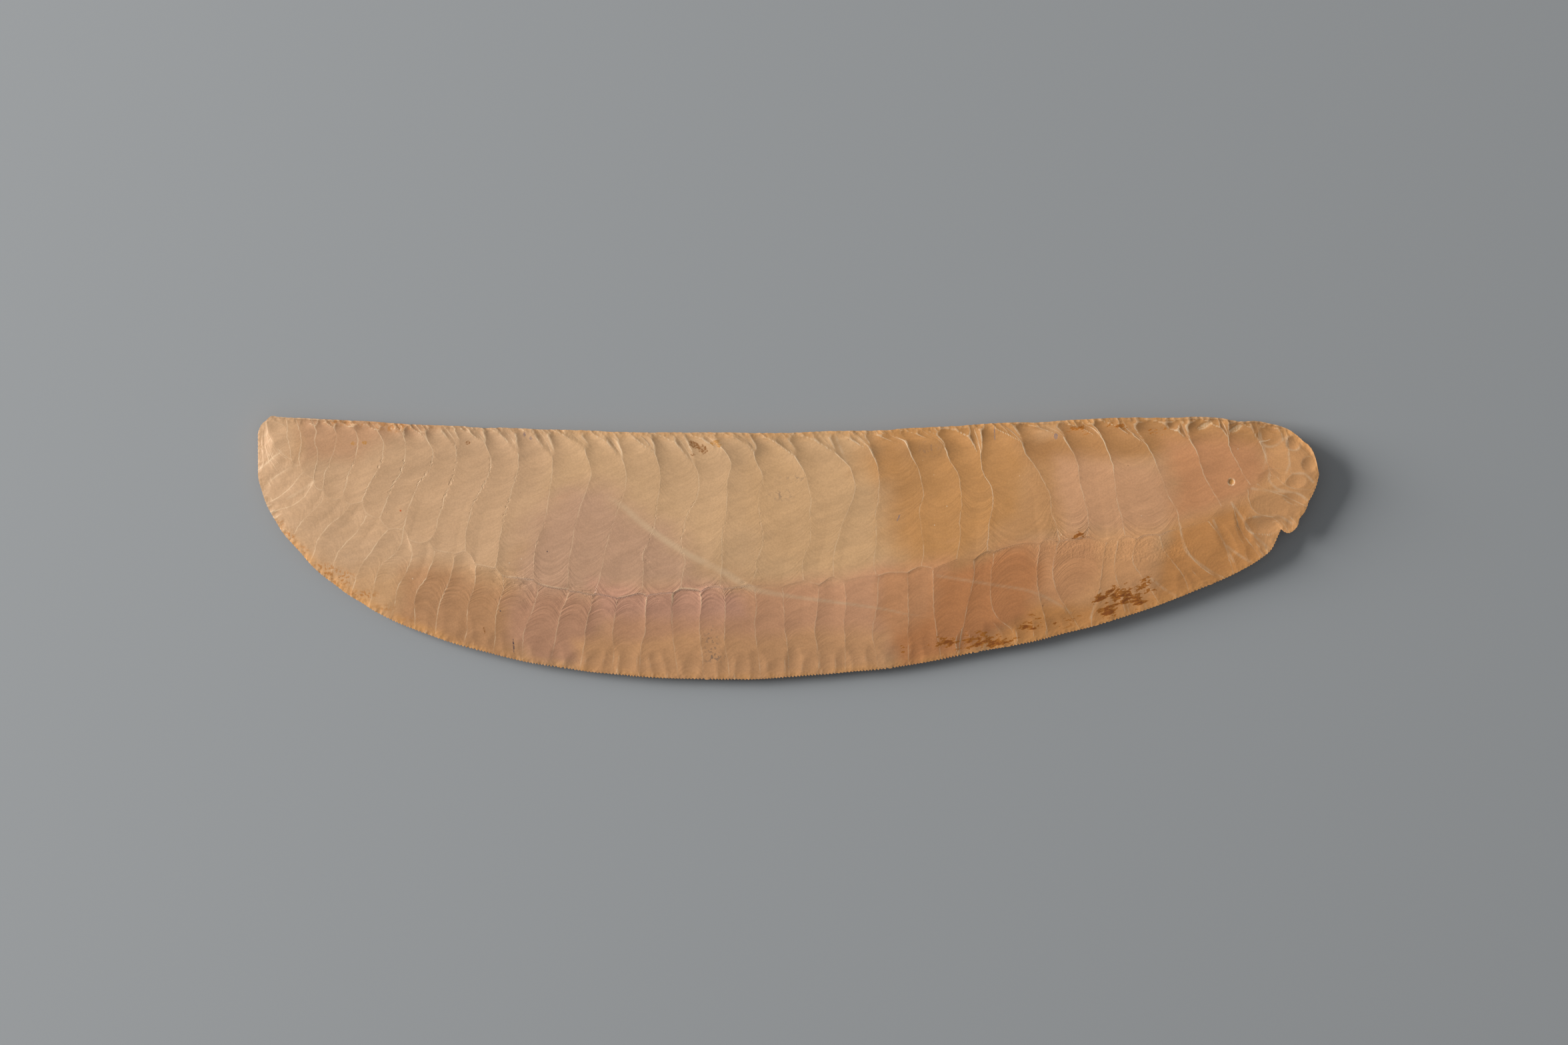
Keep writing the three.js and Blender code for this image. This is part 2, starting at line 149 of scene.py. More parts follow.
backRidges = [
    [(427, 625), (429, 639), (429, 654), (432, 668), (435, 690)],
    [(440, 626), (445, 639), (450, 660), (449, 672), (447, 685), (448, 699)],
    [(464, 627), (469, 637), (472, 649), (470, 661), (475, 680), (468, 718)],
    [(489, 628), (498, 639), (503, 654), (502, 665), (498, 679), (491, 697), (486, 709), (482, 737)],
    [(520, 630), (526, 639), (533, 649), (535, 662), (534, 676), (531, 689), (525, 703),
     (521, 713), (518, 726), (512, 748)],
    [(552, 632), (560, 640), (568, 652), (573, 661), (573, 674), (572, 687), (567, 701),
     (560, 713), (548, 736), (540, 756)],
    [(594, 634), (602, 649), (606, 661), (607, 672), (606, 687), (602, 703), (599, 711),
     (590, 724), (585, 733), (578, 753), (568, 779)],
    [(624, 636), (631, 647), (639, 659), (647, 672), (648, 682), (646, 694), (642, 706),
     (636, 714), (627, 726), (621, 740), (612, 763), (609, 777), (604, 796)],
    [(662, 638), (673, 650), (680, 661), (682, 671), (684, 682), (683, 696), (680, 709),
     (676, 723), (669, 738), (664, 755), (659, 770), (655, 780), (652, 799), (640, 816)],
    [(706, 640), (722, 658), (731, 675), (735, 692), (734, 705), (728, 720), (720, 735),
     (712, 750), (706, 765), (703, 780), (698, 800), (697, 830)],
    [(751, 641), (765, 656), (774, 672), (777, 690), (776, 705), (771, 722), (766, 738),
     (761, 755), (757, 770), (753, 790), (749, 810), (746, 830), (741, 856)],
    [(804, 643), (816, 657), (823, 672), (828, 690), (828, 705), (826, 720), (823, 745),
     (820, 765), (815, 785), (810, 800), (805, 815), (801, 840), (800, 871)],
    [(850, 644), (862, 655), (874, 665), (878, 680), (884, 695), (886, 710), (883, 725),
     (877, 742), (871, 757), (866, 775), (862, 790), (858, 815), (853, 840), (852, 884)],
    [(905, 646), (918, 663), (930, 680), (936, 698), (939, 715), (937, 735), (931, 752),
     (925, 768), (920, 785), (914, 803), (908, 825), (903, 850), (894, 891)],
    [(953, 647), (970, 660), (981, 678), (987, 695), (990, 715), (988, 740), (985, 760),
     (981, 790), (972, 815), (963, 835), (965, 850), (962, 892)],
    [(1009, 648), (1022, 664), (1032, 680), (1041, 697), (1047, 712), (1048, 731), (1045, 746),
     (1040, 758), (1032, 770), (1028, 780), (1026, 795), (1021, 813), (1023, 830), (1028, 844),
     (1025, 859), (1022, 885)],
    [(1048, 648), (1061, 655), (1081, 670), (1093, 684), (1097, 699), (1093, 711), (1091, 725),
     (1091, 743), (1090, 766), (1088, 782), (1084, 797), (1083, 815), (1083, 847), (1080, 881)],
    [(1100, 648), (1118, 659), (1129, 669), (1131, 682), (1135, 696), (1143, 710), (1144, 722),
     (1139, 735), (1138, 750), (1139, 767), (1141, 783), (1145, 812), (1140, 831), (1134, 846),
     (1135, 856), (1126, 878)],
    [(1160, 649), (1168, 658), (1187, 677), (1200, 696), (1209, 713), (1214, 733), (1217, 755),
     (1215, 767), (1216, 799), (1215, 815), (1210, 827), (1204, 846), (1205, 874)],
    [(1224, 647), (1236, 659), (1251, 677), (1268, 693), (1277, 704), (1281, 718), (1283, 736),
     (1280, 748), (1271, 770), (1262, 793), (1256, 814), (1250, 840), (1251, 869)],
    [(1276, 645), (1290, 659), (1301, 667), (1310, 682), (1317, 702), (1319, 722), (1317, 751),
     (1314, 770), (1314, 790), (1314, 821), (1311, 848), (1314, 862)],
    [(1328, 644), (1340, 654), (1358, 661), (1367, 681), (1377, 701), (1382, 721), (1386, 740),
     (1380, 765), (1381, 783), (1384, 807), (1386, 824), (1383, 853)],
    [(1380, 641), (1391, 650), (1411, 661), (1420, 674), (1426, 692), (1437, 708), (1441, 728),
     (1443, 745), (1443, 760), (1440, 783), (1441, 807), (1436, 842)],
    [(1460, 637), (1464, 649), (1468, 661), (1471, 674), (1473, 699), (1477, 713), (1484, 723),
     (1489, 735), (1490, 748), (1489, 765), (1485, 782), (1482, 829)],
    [(1500, 634), (1517, 645), (1531, 659), (1539, 679), (1556, 703), (1569, 728), (1576, 742),
     (1577, 757), (1578, 770), (1584, 785), (1590, 809)],
    [(1563, 633), (1573, 640), (1592, 650), (1605, 669), (1616, 690), (1619, 706), (1620, 723),
     (1625, 740), (1630, 762), (1633, 780), (1632, 808)],
    [(1622, 629), (1628, 637), (1640, 642), (1654, 657), (1664, 679), (1672, 706), (1673, 723),
     (1677, 753), (1684, 782), (1688, 806)],
    [(1683, 626), (1694, 644), (1706, 653), (1718, 663), (1728, 679), (1738, 703), (1747, 726),
     (1754, 746), (1765, 765), (1772, 793)],
    [(1770, 626), (1779, 650), (1789, 664), (1797, 680), (1803, 701), (1812, 723), (1824, 743),
     (1834, 761)],
    [(1832, 626), (1841, 645), (1846, 671), (1858, 696), (1868, 715), (1877, 728)],
    [(1884, 631), (1889, 645), (1891, 660), (1898, 680), (1903, 698), (1907, 715)],
    [(1929, 642), (1933, 660), (1935, 685), (1938, 711)]]
cuttingRidges = [
    [(384, 675), (393, 671), (401, 662), (405, 656)],
    [(385, 705), (397, 696), (410, 684), (420, 678)],
    [(389, 730), (400, 726), (410, 716), (425, 706), (440, 694)],
    [(397, 755), (412, 748), (430, 735), (445, 718), (456, 705)],
    [(405, 770), (417, 764), (435, 759), (455, 745), (470, 722)],
    [(432, 812), (438, 803), (446, 789), (456, 777), (467, 767), (478, 756), (486, 739)],
    [(462, 845), (469, 830), (474, 812), (482, 800), (494, 785), (508, 775), (518, 763), (526, 752)],
    [(490, 870), (499, 845), (506, 828), (518, 814), (535, 797), (547, 780), (554, 768)],
    [(524, 894), (531, 872), (536, 857), (544, 843), (556, 827), (570, 806), (586, 788)],
    [(551, 912), (557, 890), (562, 868), (570, 849), (580, 840), (592, 830), (600, 817), (603, 797)],
    [(584, 929), (591, 905), (595, 883), (604, 866), (612, 851), (619, 832), (619, 820), (616, 804)],
    [(620, 945), (621, 920), (621, 900), (627, 882), (638, 868), (645, 850), (651, 835), (653, 821)],
    [(651, 956), (654, 925), (659, 905), (666, 888), (673, 872), (678, 855), (683, 828)],
    [(692, 969), (699, 945), (700, 920), (704, 900), (710, 885), (714, 868), (716, 842)],
    [(738, 981), (741, 960), (742, 938), (745, 915), (751, 896), (756, 878), (754, 860)],
    [(782, 992), (783, 970), (785, 950), (790, 935), (797, 920), (802, 905), (807, 885), (808, 873)],
    [(822, 999), (829, 972), (836, 940), (842, 915), (850, 900), (855, 885)],
    [(868, 1006), (876, 965), (878, 945), (882, 925), (888, 905), (889, 890)],
    [(915, 1012), (920, 980), (918, 950), (921, 930), (924, 908), (925, 893)],
    [(957, 1016), (960, 985), (961, 970), (967, 950), (968, 925), (970, 892)],
    [(1018, 1018), (1013, 985), (1010, 960), (1008, 930), (1010, 900), (1011, 887)],
    [(1055, 1020), (1053, 985), (1050, 955), (1049, 930), (1052, 905), (1050, 884)],
    [(1094, 1020), (1091, 990), (1087, 965), (1087, 935), (1088, 910), (1086, 881)],
    [(1141, 1019), (1138, 985), (1134, 960), (1132, 936), (1135, 911), (1132, 878)],
    [(1184, 1016), (1183, 992), (1181, 965), (1177, 943), (1176, 914), (1173, 876)],
    [(1232, 1012), (1229, 989), (1225, 964), (1222, 943), (1225, 921), (1228, 872)],
    [(1268, 1009), (1268, 986), (1268, 961), (1266, 932), (1269, 904), (1265, 868)],
    [(1318, 1005), (1316, 990), (1311, 968), (1309, 943), (1315, 914), (1318, 862)],
    [(1363, 998), (1363, 980), (1362, 954), (1363, 920), (1362, 890), (1361, 856)],
    [(1412, 989), (1410, 972), (1405, 945), (1401, 915), (1400, 880), (1399, 850)],
    [(1440, 984), (1442, 960), (1448, 930), (1452, 905), (1460, 870), (1462, 836)],
    [(1524, 968), (1519, 945), (1500, 930), (1489, 912), (1486, 880), (1492, 827)],
    [(1574, 957), (1570, 935), (1564, 912), (1558, 885), (1556, 850), (1560, 813)],
    [(1622, 945), (1614, 932), (1598, 908), (1585, 885), (1580, 855), (1588, 810)],
    [(1640, 940), (1640, 918), (1648, 893), (1652, 870), (1655, 840), (1660, 808)],
    [(1697, 923), (1690, 900), (1678, 875), (1672, 850), (1678, 807)],
    [(1742, 907), (1728, 885), (1712, 862), (1700, 840), (1706, 805)],
    [(1786, 890), (1781, 873), (1772, 857), (1758, 840), (1745, 822), (1740, 799)],
    [(1834, 870), (1818, 861), (1800, 848), (1785, 830), (1777, 812), (1770, 792)],
    [(1853, 861), (1846, 840), (1838, 815), (1826, 797), (1816, 785), (1810, 778)],
    [(1893, 837), (1878, 817), (1866, 802), (1858, 786), (1852, 766), (1846, 752)],
    [(1936, 799), (1920, 778), (1900, 774), (1884, 768), (1875, 752), (1872, 732)],
    [(1961, 760), (1945, 752), (1928, 744), (1910, 738), (1895, 732), (1885, 724)],
    [(1973, 736), (1962, 734), (1945, 733), (1928, 727), (1915, 714)]]

# How deep a scar is on its way from the rim to the crest; the shares say how this goes along the blade
backDepthMiddle = [(0, 0.6), (0.04, 1.1), (0.08, 1.1), (0.18, 0.52), (0.31, 0.16), (0.48, 0.1), (0.65, 0.08),
                   (1, 0.12)]
backDepthRight = [(0, 0.6), (0.05, 1.2), (0.11, 1.2), (0.2, 0.85), (0.32, 0.52), (0.45, 0.3), (0.6, 0.15),
                  (1, 0.12)]
rightShare = [(0, 0), (0.6, 0), (0.68, 1), (1, 1)]
cuttingDepthRun = [(0, 0.15), (0.1, 0.32), (0.25, 0.35), (0.45, 0.25), (0.7, 0.17), (1, 0.1)]
cuttingShare = [(0, 0.12), (0.1, 0.22), (0.22, 0.85), (1, 0.85)]
# Along the blade: how deep the longer belly flakes are, and how pale the ridges and the meeting line
longFlakes = [(0, 0), (0.12, 0.15), (0.25, 0.6), (0.35, 1), (1, 1)]
ridgePale = [(0, 1.7), (0.2, 1.5), (0.3, 0.9), (0.7, 0.9), (0.8, 1.1), (1, 1.3)]
crestPale = [(0, 0), (0.03, 0.8), (0.26, 0.8), (0.36, 0), (1, 0)]
# Along the blade: how deep the back scars are behind their hooded heads and in them, and the heads' reach
leftShare = [(0, 0.15), (0.14, 0.22), (0.24, 0.95), (1, 1)]
hoodShare = [(0, 1), (0.45, 1), (0.52, 1.15), (0.62, 1.15), (0.68, 1.35), (1, 1.35)]
hoodReach = [(0, 1), (0.46, 1), (0.51, 1.4), (0.6, 1.4), (0.66, 1), (1, 1)]
# Along the blade: height of the underside's rim, and of the crest as a share of its greatest
rimRise = [(0, 0.0022), (0.15, 0.0018), (0.35, 0.0016), (0.6, 0.0015), (0.76, 0.0018), (0.88, 0.0026),
           (0.95, 0.0032), (1, 0.0034)]
crestLevel = [(0, 0.567), (0.01, 0.6), (0.03, 0.65), (0.08, 0.75), (0.16, 0.88), (0.25, 0.98), (0.3, 1),
              (0.38, 1), (0.5, 0.95), (0.65, 0.91), (0.78, 0.86), (0.9, 0.79), (0.97, 0.765), (1, 0.762)]
# The lobes, arches and steps where the two rows meet, and how the scars rise to them
lobeSize = [(0, 0), (0.04, 0.0003), (0.08, 0.0011), (0.22, 0.0013), (0.34, 0.0006), (0.9, 0.0004), (1, 0)]
hingeSize = [(0, 0), (0.1, 0.0001), (0.25, 0.0006), (0.75, 0.0007), (0.95, 0.0002), (1, 0)]
stepSize = [(0, 0), (0.15, 0), (0.25, 0.00004), (0.35, 0.00007), (0.6, 0.00008), (0.8, 0.00003), (1, 0)]
crestLip = [(0, 0.8), (0.28, 0.8), (0.36, 0.6), (0.45, 0.9), (0.75, 1), (1, 1)]
lipReach = [(0, 0.0005), (0.3, 0.0006), (0.5, 0.0012), (0.8, 0.002), (1, 0.0025)]
# How much of the teeth is left along the belly
toothWear = [(0, 0.3), (0.16, 0.5), (0.22, 0.85), (0.3, 1), (0.72, 1), (0.8, 0.75), (0.9, 0.6), (1, 0.3)]
# Short steps where single flakes broke off, as pixels and depth; the drop is on the right of the path
hinges = [
    ([(628, 878), (639, 870), (655, 867), (668, 871), (675, 879)], 0.00008),
    ([(652, 818), (659, 814), (666, 818)], 0.00005),
    ([(715, 856), (723, 860), (737, 857), (746, 851)], 0.00007),
    ([(753, 854), (767, 867), (785, 873), (799, 868)], 0.0001),
    ([(853, 880), (865, 889), (882, 893), (900, 889)], 0.00007),
    ([(964, 891), (974, 897), (990, 899)], 0.00005),
    ([(1052, 886), (1066, 880), (1084, 873), (1098, 880), (1119, 880), (1131, 870)], 0.00008),
    ([(971, 813), (962, 836), (972, 850)], 0.00006),
    ([(1214, 868), (1218, 877), (1236, 876)], 0.00005),
    ([(1582, 787), (1592, 803), (1605, 812), (1619, 808), (1630, 795), (1634, 783)], 0.0001),
    ([(1594, 790), (1604, 803), (1616, 800), (1626, 788)], 0.00006),
]
hingeFall = {"points": 40, "reach": 0.0012, "start": 0.0003, "ends": 8, "search": (0.6, 0.003)}
# Rows of small flakes struck along the rims, and narrow ones at the heads of the back ridges
retouch = {
    "cuttingLarge": {"spacing": (0.0028, 0.0044), "widths": (0.0034, 0.005),
                     "lengths": (0.004, 0.0072), "depths": (0.00009, 0.00018)},
    "cuttingSmall": {"spacing": (0.001, 0.0019), "widths": (0.0013, 0.0022),
                     "lengths": (0.001, 0.0024), "depths": (0.00007, 0.00015)},
    "backSmall": {"spacing": (0.001, 0.0024), "widths": (0.0013, 0.0028),
                  "lengths": (0.0007, 0.0019), "depths": (0.0001, 0.00024)},
}
flake = {"slant": 0.25, "deepest": 0.3, "steepness": 3}
wedges = {"firstRidge": 9, "each": 2, "steps": (1, 5), "turn": 8, "stray": 0.0008,
          "halfLong": (0.0018, 0.0036), "halfWide": (0.0005, 0.0009), "depth": (0.00008, 0.00017),
          "worn": 0.000003}
# Listed flakes: middle pixel, half sizes in pixels, turn in degrees, depth
tipDishes = [(1901, 649, 16, 14, 0, 0.00022), (1943, 664, 13, 12, 0, 0.00022),
             (1965, 696, 12, 13, 0, 0.00018), (1912, 716, 26, 13, 10, 0.00013),
             (1945, 722, 16, 11, 0, 0.00013), (1945, 749, 20, 9, -15, 0.00015),
             (1910, 758, 32, 15, -8, 0.00013), (1896, 789, 32, 14, -5, 0.00032),
             (1938, 787, 13, 8, -45, 0.00018), (1866, 792, 10, 28, 20, 0.0001),
             (1842, 812, 11, 34, 28, 0.0001), (1762, 637, 10, 7, 10, 0.0002),
             (1810, 639, 12, 5, 35, 0.00014), (1858, 645, 11, 5, 35, 0.00014), (1848, 723, 5, 5, 0, 0.00012),
             (1700, 853, 24, 12, 5, 0.00005)]
buttDishes = [(412, 641, 16, 8, -20, 0.00014), (399, 662, 9, 14, 0, 0.0001), (424, 667, 17, 9, 5, 0.00012),
              (403, 690, 16, 7, 35, 0.00009), (424, 694, 16, 7, 30, 0.00008), (408, 716, 22, 8, 35, 0.00008),
              (420, 738, 24, 9, 35, 0.00008), (446, 690, 16, 7, 60, 0.00008)]
dishSets = [(tipDishes, 1.35), (buttDishes, 0.8)]
dishWorn = 0.000008


def smoothPath(points, count):
    # cubic through the given points, spaced by the root of their distance
    points = fromPhoto(points)
    gaps = np.linalg.norm(np.diff(points, axis=0), axis=1) ** 0.5
    knots = np.concatenate([[0], np.cumsum(gaps)])
    slopes = np.gradient(points, knots, axis=0)
    at = np.linspace(0, knots[-1], count)
    cell = np.clip(np.searchsorted(knots, at, side="right") - 1, 0, len(knots) - 2)
    span = (knots[cell + 1] - knots[cell])[:, None]
    s = (at - knots[cell])[:, None] / span
    path = ((2 * s ** 3 - 3 * s ** 2 + 1) * points[cell] + (s ** 3 - 2 * s ** 2 + s) * span * slopes[cell]
            + (3 * s ** 2 - 2 * s ** 3) * points[cell + 1] + (s ** 3 - s ** 2) * span * slopes[cell + 1])
    return np.clip(path, bladeLow[:2], bladeHigh[:2])


def pathLength(path):
    return np.linalg.norm(np.diff(path, axis=0), axis=1).sum()


def pathShares(path):
    run = np.concatenate([[0], np.cumsum(np.linalg.norm(np.diff(path, axis=0), axis=1))])
    return run / run[-1]


def alongPath(path, shares):
    run = pathShares(path)
    return np.stack([np.interp(shares, run, path[:, axis]) for axis in range(2)], axis=-1)


def shareNearest(path, point):
    return pathShares(path)[np.argmin(np.linalg.norm(path - point, axis=1))]


def readTable(table, places):
    table = np.asarray(table, float)
    return np.interp(places, table[:, 0], table[:, 1])


def closeTo(distance, reach):
    # 1 on a line, falling straight to 0 at the given reach
    return np.clip(1 - distance / reach, 0, 1)


def unevenLine(count, reach, size):
    # seeded ups and downs, each as long as the given number of places
    knots = np.arange(0, count + reach, reach)
    return np.interp(np.arange(count), knots, dice.uniform(-size, size, len(knots)))


dice = np.random.default_rng(blade["seed"])
backPath = smoothPath(backOutline, blade["pathPoints"])
middlePart = slice(blade["backCalm"], -blade["backCalm"])
backPath[middlePart, 1] -= np.abs(unevenLine(len(backPath[middlePart]), blade["backJitterReach"],
                                             blade["backJitter"]))
cuttingPath = smoothPath(cuttingOutline, blade["pathPoints"])
# The tips of the teeth stand a little outside the drawn line
outward = np.gradient(cuttingPath, axis=0)[:, ::-1] * (1, -1)
outward /= np.linalg.norm(outward, axis=1)[:, None]
firstRamp, lastRamp = teeth["ramps"]
fade = np.clip(np.linspace(0, firstRamp, len(outward)), 0, 1)
fade *= np.clip(np.linspace(lastRamp, 0, len(outward)), 0, 1)
cuttingPath = np.clip(cuttingPath + outward * fade[:, None] * teeth["reach"], bladeLow[:2], bladeHigh[:2])
crestPath = smoothPath(crestOutline, blade["pathPoints"])


def makeRidges(ridgePoints, rimPath):
    # each ridge is a path from the rim to the crest, with the two blade ends as extra ones
    count = blade["ridgePoints"]
    steps = np.linspace(0, 1, count)
    rims = [0.0]
    crests = [0.0]
    paths = [np.repeat(crestPath[:1], count, axis=0)]
    for points in ridgePoints:
        path = alongPath(smoothPath(points, blade["ridgeDraft"]), steps)
        rim = shareNearest(rimPath, path[0])
        end = shareNearest(crestPath, path[-1])
        path += (1 - steps)[:, None] ** 2 * (alongPath(rimPath, rim) - path[0])
        path += steps[:, None] ** 2 * (alongPath(crestPath, end) - path[-1])
        shaken = path[blade["calmRidge"]:-1, 0]
        shaken += dice.uniform(-1, 1, len(shaken)) * blade["ridgeJitter"]
        rims.append(rim)
        crests.append(end)
        paths.append(path)
    paths.append(np.repeat(crestPath[-1:], count, axis=0))
    return {"rims": np.array(rims + [1.0]), "crests": np.array(crests + [1.0]), "paths": np.array(paths)}


backSet = makeRidges(backRidges, backPath)
cuttingSet = makeRidges(cuttingRidges, cuttingPath)


# The grid that carries the scars: columns run from rim to rim and follow the ridges
def rimAtCrest(ridgeSet, share):
    return np.interp(share, ridgeSet["crests"], ridgeSet["rims"])


def columnCrests():
    knots = np.union1d(backSet["crests"], cuttingSet["crests"])
    found = [0.0]
    for low, high in zip(knots[:-1], knots[1:]):
        widths = [(high - low) * pathLength(crestPath)]
        for ridgeSet, path in ((backSet, backPath), (cuttingSet, cuttingPath)):
            widths.append((rimAtCrest(ridgeSet, high) - rimAtCrest(ridgeSet, low)) * pathLength(path))
        cells = max(1, round(max(widths) / blade["cellSize"]))
        found.extend(np.linspace(low, high, cells + 1)[1:])
    return np.array(found)


columns = columnCrests()
print("columns", len(columns))


def along(table):
    # a table of the blade's length, read at every column
    return readTable(table, columns)


def scarOf(ridgeSet):
    # which scar each column lies in, and how far across it
    crests = ridgeSet["crests"]
    scar = np.clip(np.searchsorted(crests, columns, side="right") - 1, 0, len(crests) - 2)
    return scar, (columns - crests[scar]) / (crests[scar + 1] - crests[scar])


def crestPlaces():
    # the meeting line of the two rows: lobes of the back scars, arched ends of the others
    ahead = alongPath(crestPath, np.clip(columns + crest["look"], 0, 1))
    behind = alongPath(crestPath, np.clip(columns - crest["look"], 0, 1))
    way = (ahead - behind) / np.linalg.norm(ahead - behind, axis=1)[:, None]
    down = np.stack([way[:, 1], -way[:, 0]], axis=1)
    backScar, backAcross = scarOf(backSet)
    cuttingScar, cuttingAcross = scarOf(cuttingSet)
    lobes = dice.uniform(*crest["lobes"], len(backSet["rims"]))[backScar] * along(lobeSize)
    arches = dice.uniform(*crest["arches"], len(cuttingSet["rims"]))[cuttingScar] * along(hingeSize)
    shift = lobes * (4 * backAcross * (1 - backAcross) - crest["lift"])
    shift -= arches * (4 * cuttingAcross * (1 - cuttingAcross) - crest["lift"])
    shaken = np.clip(lobes + arches, 0, crest["reach"])
    shift += unevenLine(len(columns), crest["jitterReach"], blade["crestJitter"]) * shaken / crest["reach"]
    return alongPath(crestPath, columns) + down * shift[:, None]


crestLine = crestPlaces()


def ridgePlaces(ridgeSet, ridge, runs):
    # places on the given ridges at the given shares of their runs
    last = blade["ridgePoints"] - 1
    at = runs * last
    low = np.clip(at.astype(int), 0, last - 1)
    part = (at - low)[..., None]
    return ridgeSet["paths"][ridge, low] * (1 - part) + ridgeSet["paths"][ridge, low + 1] * part


def placeSheet(ridgeSet, rimPath, row):
    # plan places for every run and column, closer together near the rim, and the facts of the scar there
    even = np.linspace(0, 1, row["rows"])
    first = blade["rimCell"] / row["reach"] * (row["rows"] - 1)
    runs = first * even + (1 - first) * even ** blade["rowCrowding"]
    scar, across = scarOf(ridgeSet)
    run = np.repeat(runs[:, None], len(columns), axis=1)
    left = ridgePlaces(ridgeSet, np.broadcast_to(scar, run.shape), run)
    right = ridgePlaces(ridgeSet, np.broadcast_to(scar + 1, run.shape), run)
    plan = left * (1 - across[None, :, None]) + right * across[None, :, None]
    rimLine = alongPath(rimPath, rimAtCrest(ridgeSet, columns))
    for place, line, weight in ((0, rimLine, (1 - runs) ** 3), (1, crestLine, runs ** 3)):
        atEnd = np.full(len(columns), float(place))
        chord = (ridgePlaces(ridgeSet, scar, atEnd) * (1 - across[:, None])
                 + ridgePlaces(ridgeSet, scar + 1, atEnd) * across[:, None])
        plan += weight[:, None, None] * (line - chord)[None]
    length = np.linalg.norm(rimLine - crestLine, axis=1)
    fromButt = np.linalg.norm(plan - crestPath[0], axis=2)
    fromPoint = np.linalg.norm(plan - crestPath[-1], axis=2) / blade["calmPoint"]
    return {"plan": plan, "run": run, "scar": np.broadcast_to(scar, run.shape),
            "across": np.broadcast_to(across, run.shape),
            "width": np.linalg.norm(right - left, axis=2),
            "inward": run * length[None],
            "outward": (1 - run) * length[None],
            "rimRun": np.broadcast_to(rimAtCrest(ridgeSet, columns) * pathLength(rimPath), run.shape),
            "calm": np.clip(np.minimum(fromButt / blade["calmButt"], fromPoint), 0, 1),
            "flakeCalm": np.clip(np.minimum(fromButt / blade["calmFlakes"], fromPoint), 0, 1) ** 2}


def lensHeight(sheet, rimHeight, power):
    # the smooth swell of the blade from its rims to the crest
    rim = bladeLow[2] + along(rimRise) + rimHeight
    top = bladeLow[2] + (blade["crestHeight"] - bladeLow[2]) * along(crestLevel)
    return rim + (top - rim) * (1 - (1 - sheet["run"]) ** power)


def troughFall(sheet, row, depthAlong):
    # a dished trough between two ridges, which opens from an arch near the rim
    low, high = row["arch"]
    across = np.abs(2 * sheet["across"] ** trough["lean"] - 1)
    opening = np.sqrt(np.clip((sheet["run"] - low) / (high - low), 1e-6, 1))
    dish = 1 - np.clip(across / opening, 0, 1) ** 2
    scars = sheet["scar"].max() + 1
    vary = dice.uniform(*trough["vary"], scars)[sheet["scar"]]
    # further in, some stretches of a scar are deeper than others
    waves = dice.uniform(*trough["waveStart"], scars)[sheet["scar"]]
    waves = waves + sheet["run"] * dice.uniform(*trough["waves"], scars)[sheet["scar"]]
    inside = np.clip(trough["waveRise"] * sheet["run"] - trough["waveFrom"], 0, 1)
    vary = vary * (1 + trough["waveSize"] * np.sin(waves) * inside)
    deepest = np.minimum(sheet["width"] * trough["depthShare"], row["depth"])
    floor = deepest * vary * np.sqrt(opening) * depthAlong * sheet["calm"]
    floor = floor * (1 - along(crestLip) * np.exp(-sheet["outward"] / along(lipReach)))
    rough = (sheet["plan"] - fromPhoto(trough["roughMiddle"])) / (pixel * np.array(trough["roughHalf"]))
    # the rough patch of the photograph has hardly any troughs
    floor = floor * np.clip((rough ** 4).sum(axis=2) - trough["roughFrom"], trough["roughLeast"], 1)
    return floor * dish, floor


def cutRimFlakes(sheet, spacing, widths, lengths, depths, share=1.0):
    # a row of small flakes struck along the rim, each a shallow dish cut into the stone
    place = sheet["rimRun"].min()
    while place < sheet["rimRun"].max():
        width, length, depth = dice.uniform(*widths), dice.uniform(*lengths), dice.uniform(*depths)
        slant = dice.uniform(-flake["slant"], flake["slant"])
        middle = flake["deepest"] * length
        reach = sheet["inward"] - middle
        reach = np.where(reach > 0, reach / (length - middle), reach / (flake["steepness"] * middle))
        aside = (sheet["rimRun"] - place - slant * sheet["inward"]) / (width / 2)
        cut = sheet["start"] - depth * share * sheet["flakeCalm"] * (1 - reach ** 2 - aside ** 2)
        np.minimum(sheet["top"], cut, out=sheet["top"])
        place += dice.uniform(*spacing)


def cutDish(sheet, middle, halfLong, halfWide, turn, depth, worn):
    # one flake as a tilted bowl, whose rim is worn round over the given height
    offset = sheet["plan"] - middle
    cosine, sine = math.cos(math.radians(turn)), math.sin(math.radians(turn))
    longWay = (offset[..., 0] * cosine + offset[..., 1] * sine) / halfLong
    wideWay = (offset[..., 1] * cosine - offset[..., 0] * sine) / halfWide
    cut = sheet["start"] - depth * (1 - longWay ** 2 - wideWay ** 2)
    sheet["top"][:] = -worn * np.logaddexp(-sheet["top"] / worn, -cut / worn)


def cutWedges(sheet, ridgeSet):
    # narrow flakes at the heads of the ridges, between the lobes of the back edge
    for path in ridgeSet["paths"][wedges["firstRidge"]:-1]:
        for _ in range(wedges["each"]):
            step = dice.integers(*wedges["steps"])
            ahead = path[step + 2] - path[step]
            turn = math.degrees(math.atan2(ahead[1], ahead[0]))
            turn += dice.uniform(-wedges["turn"], wedges["turn"])
            middle = path[step] + dice.uniform(-wedges["stray"], wedges["stray"], 2)
            cutDish(sheet, middle, dice.uniform(*wedges["halfLong"]), dice.uniform(*wedges["halfWide"]),
                    turn, dice.uniform(*wedges["depth"]), wedges["worn"])


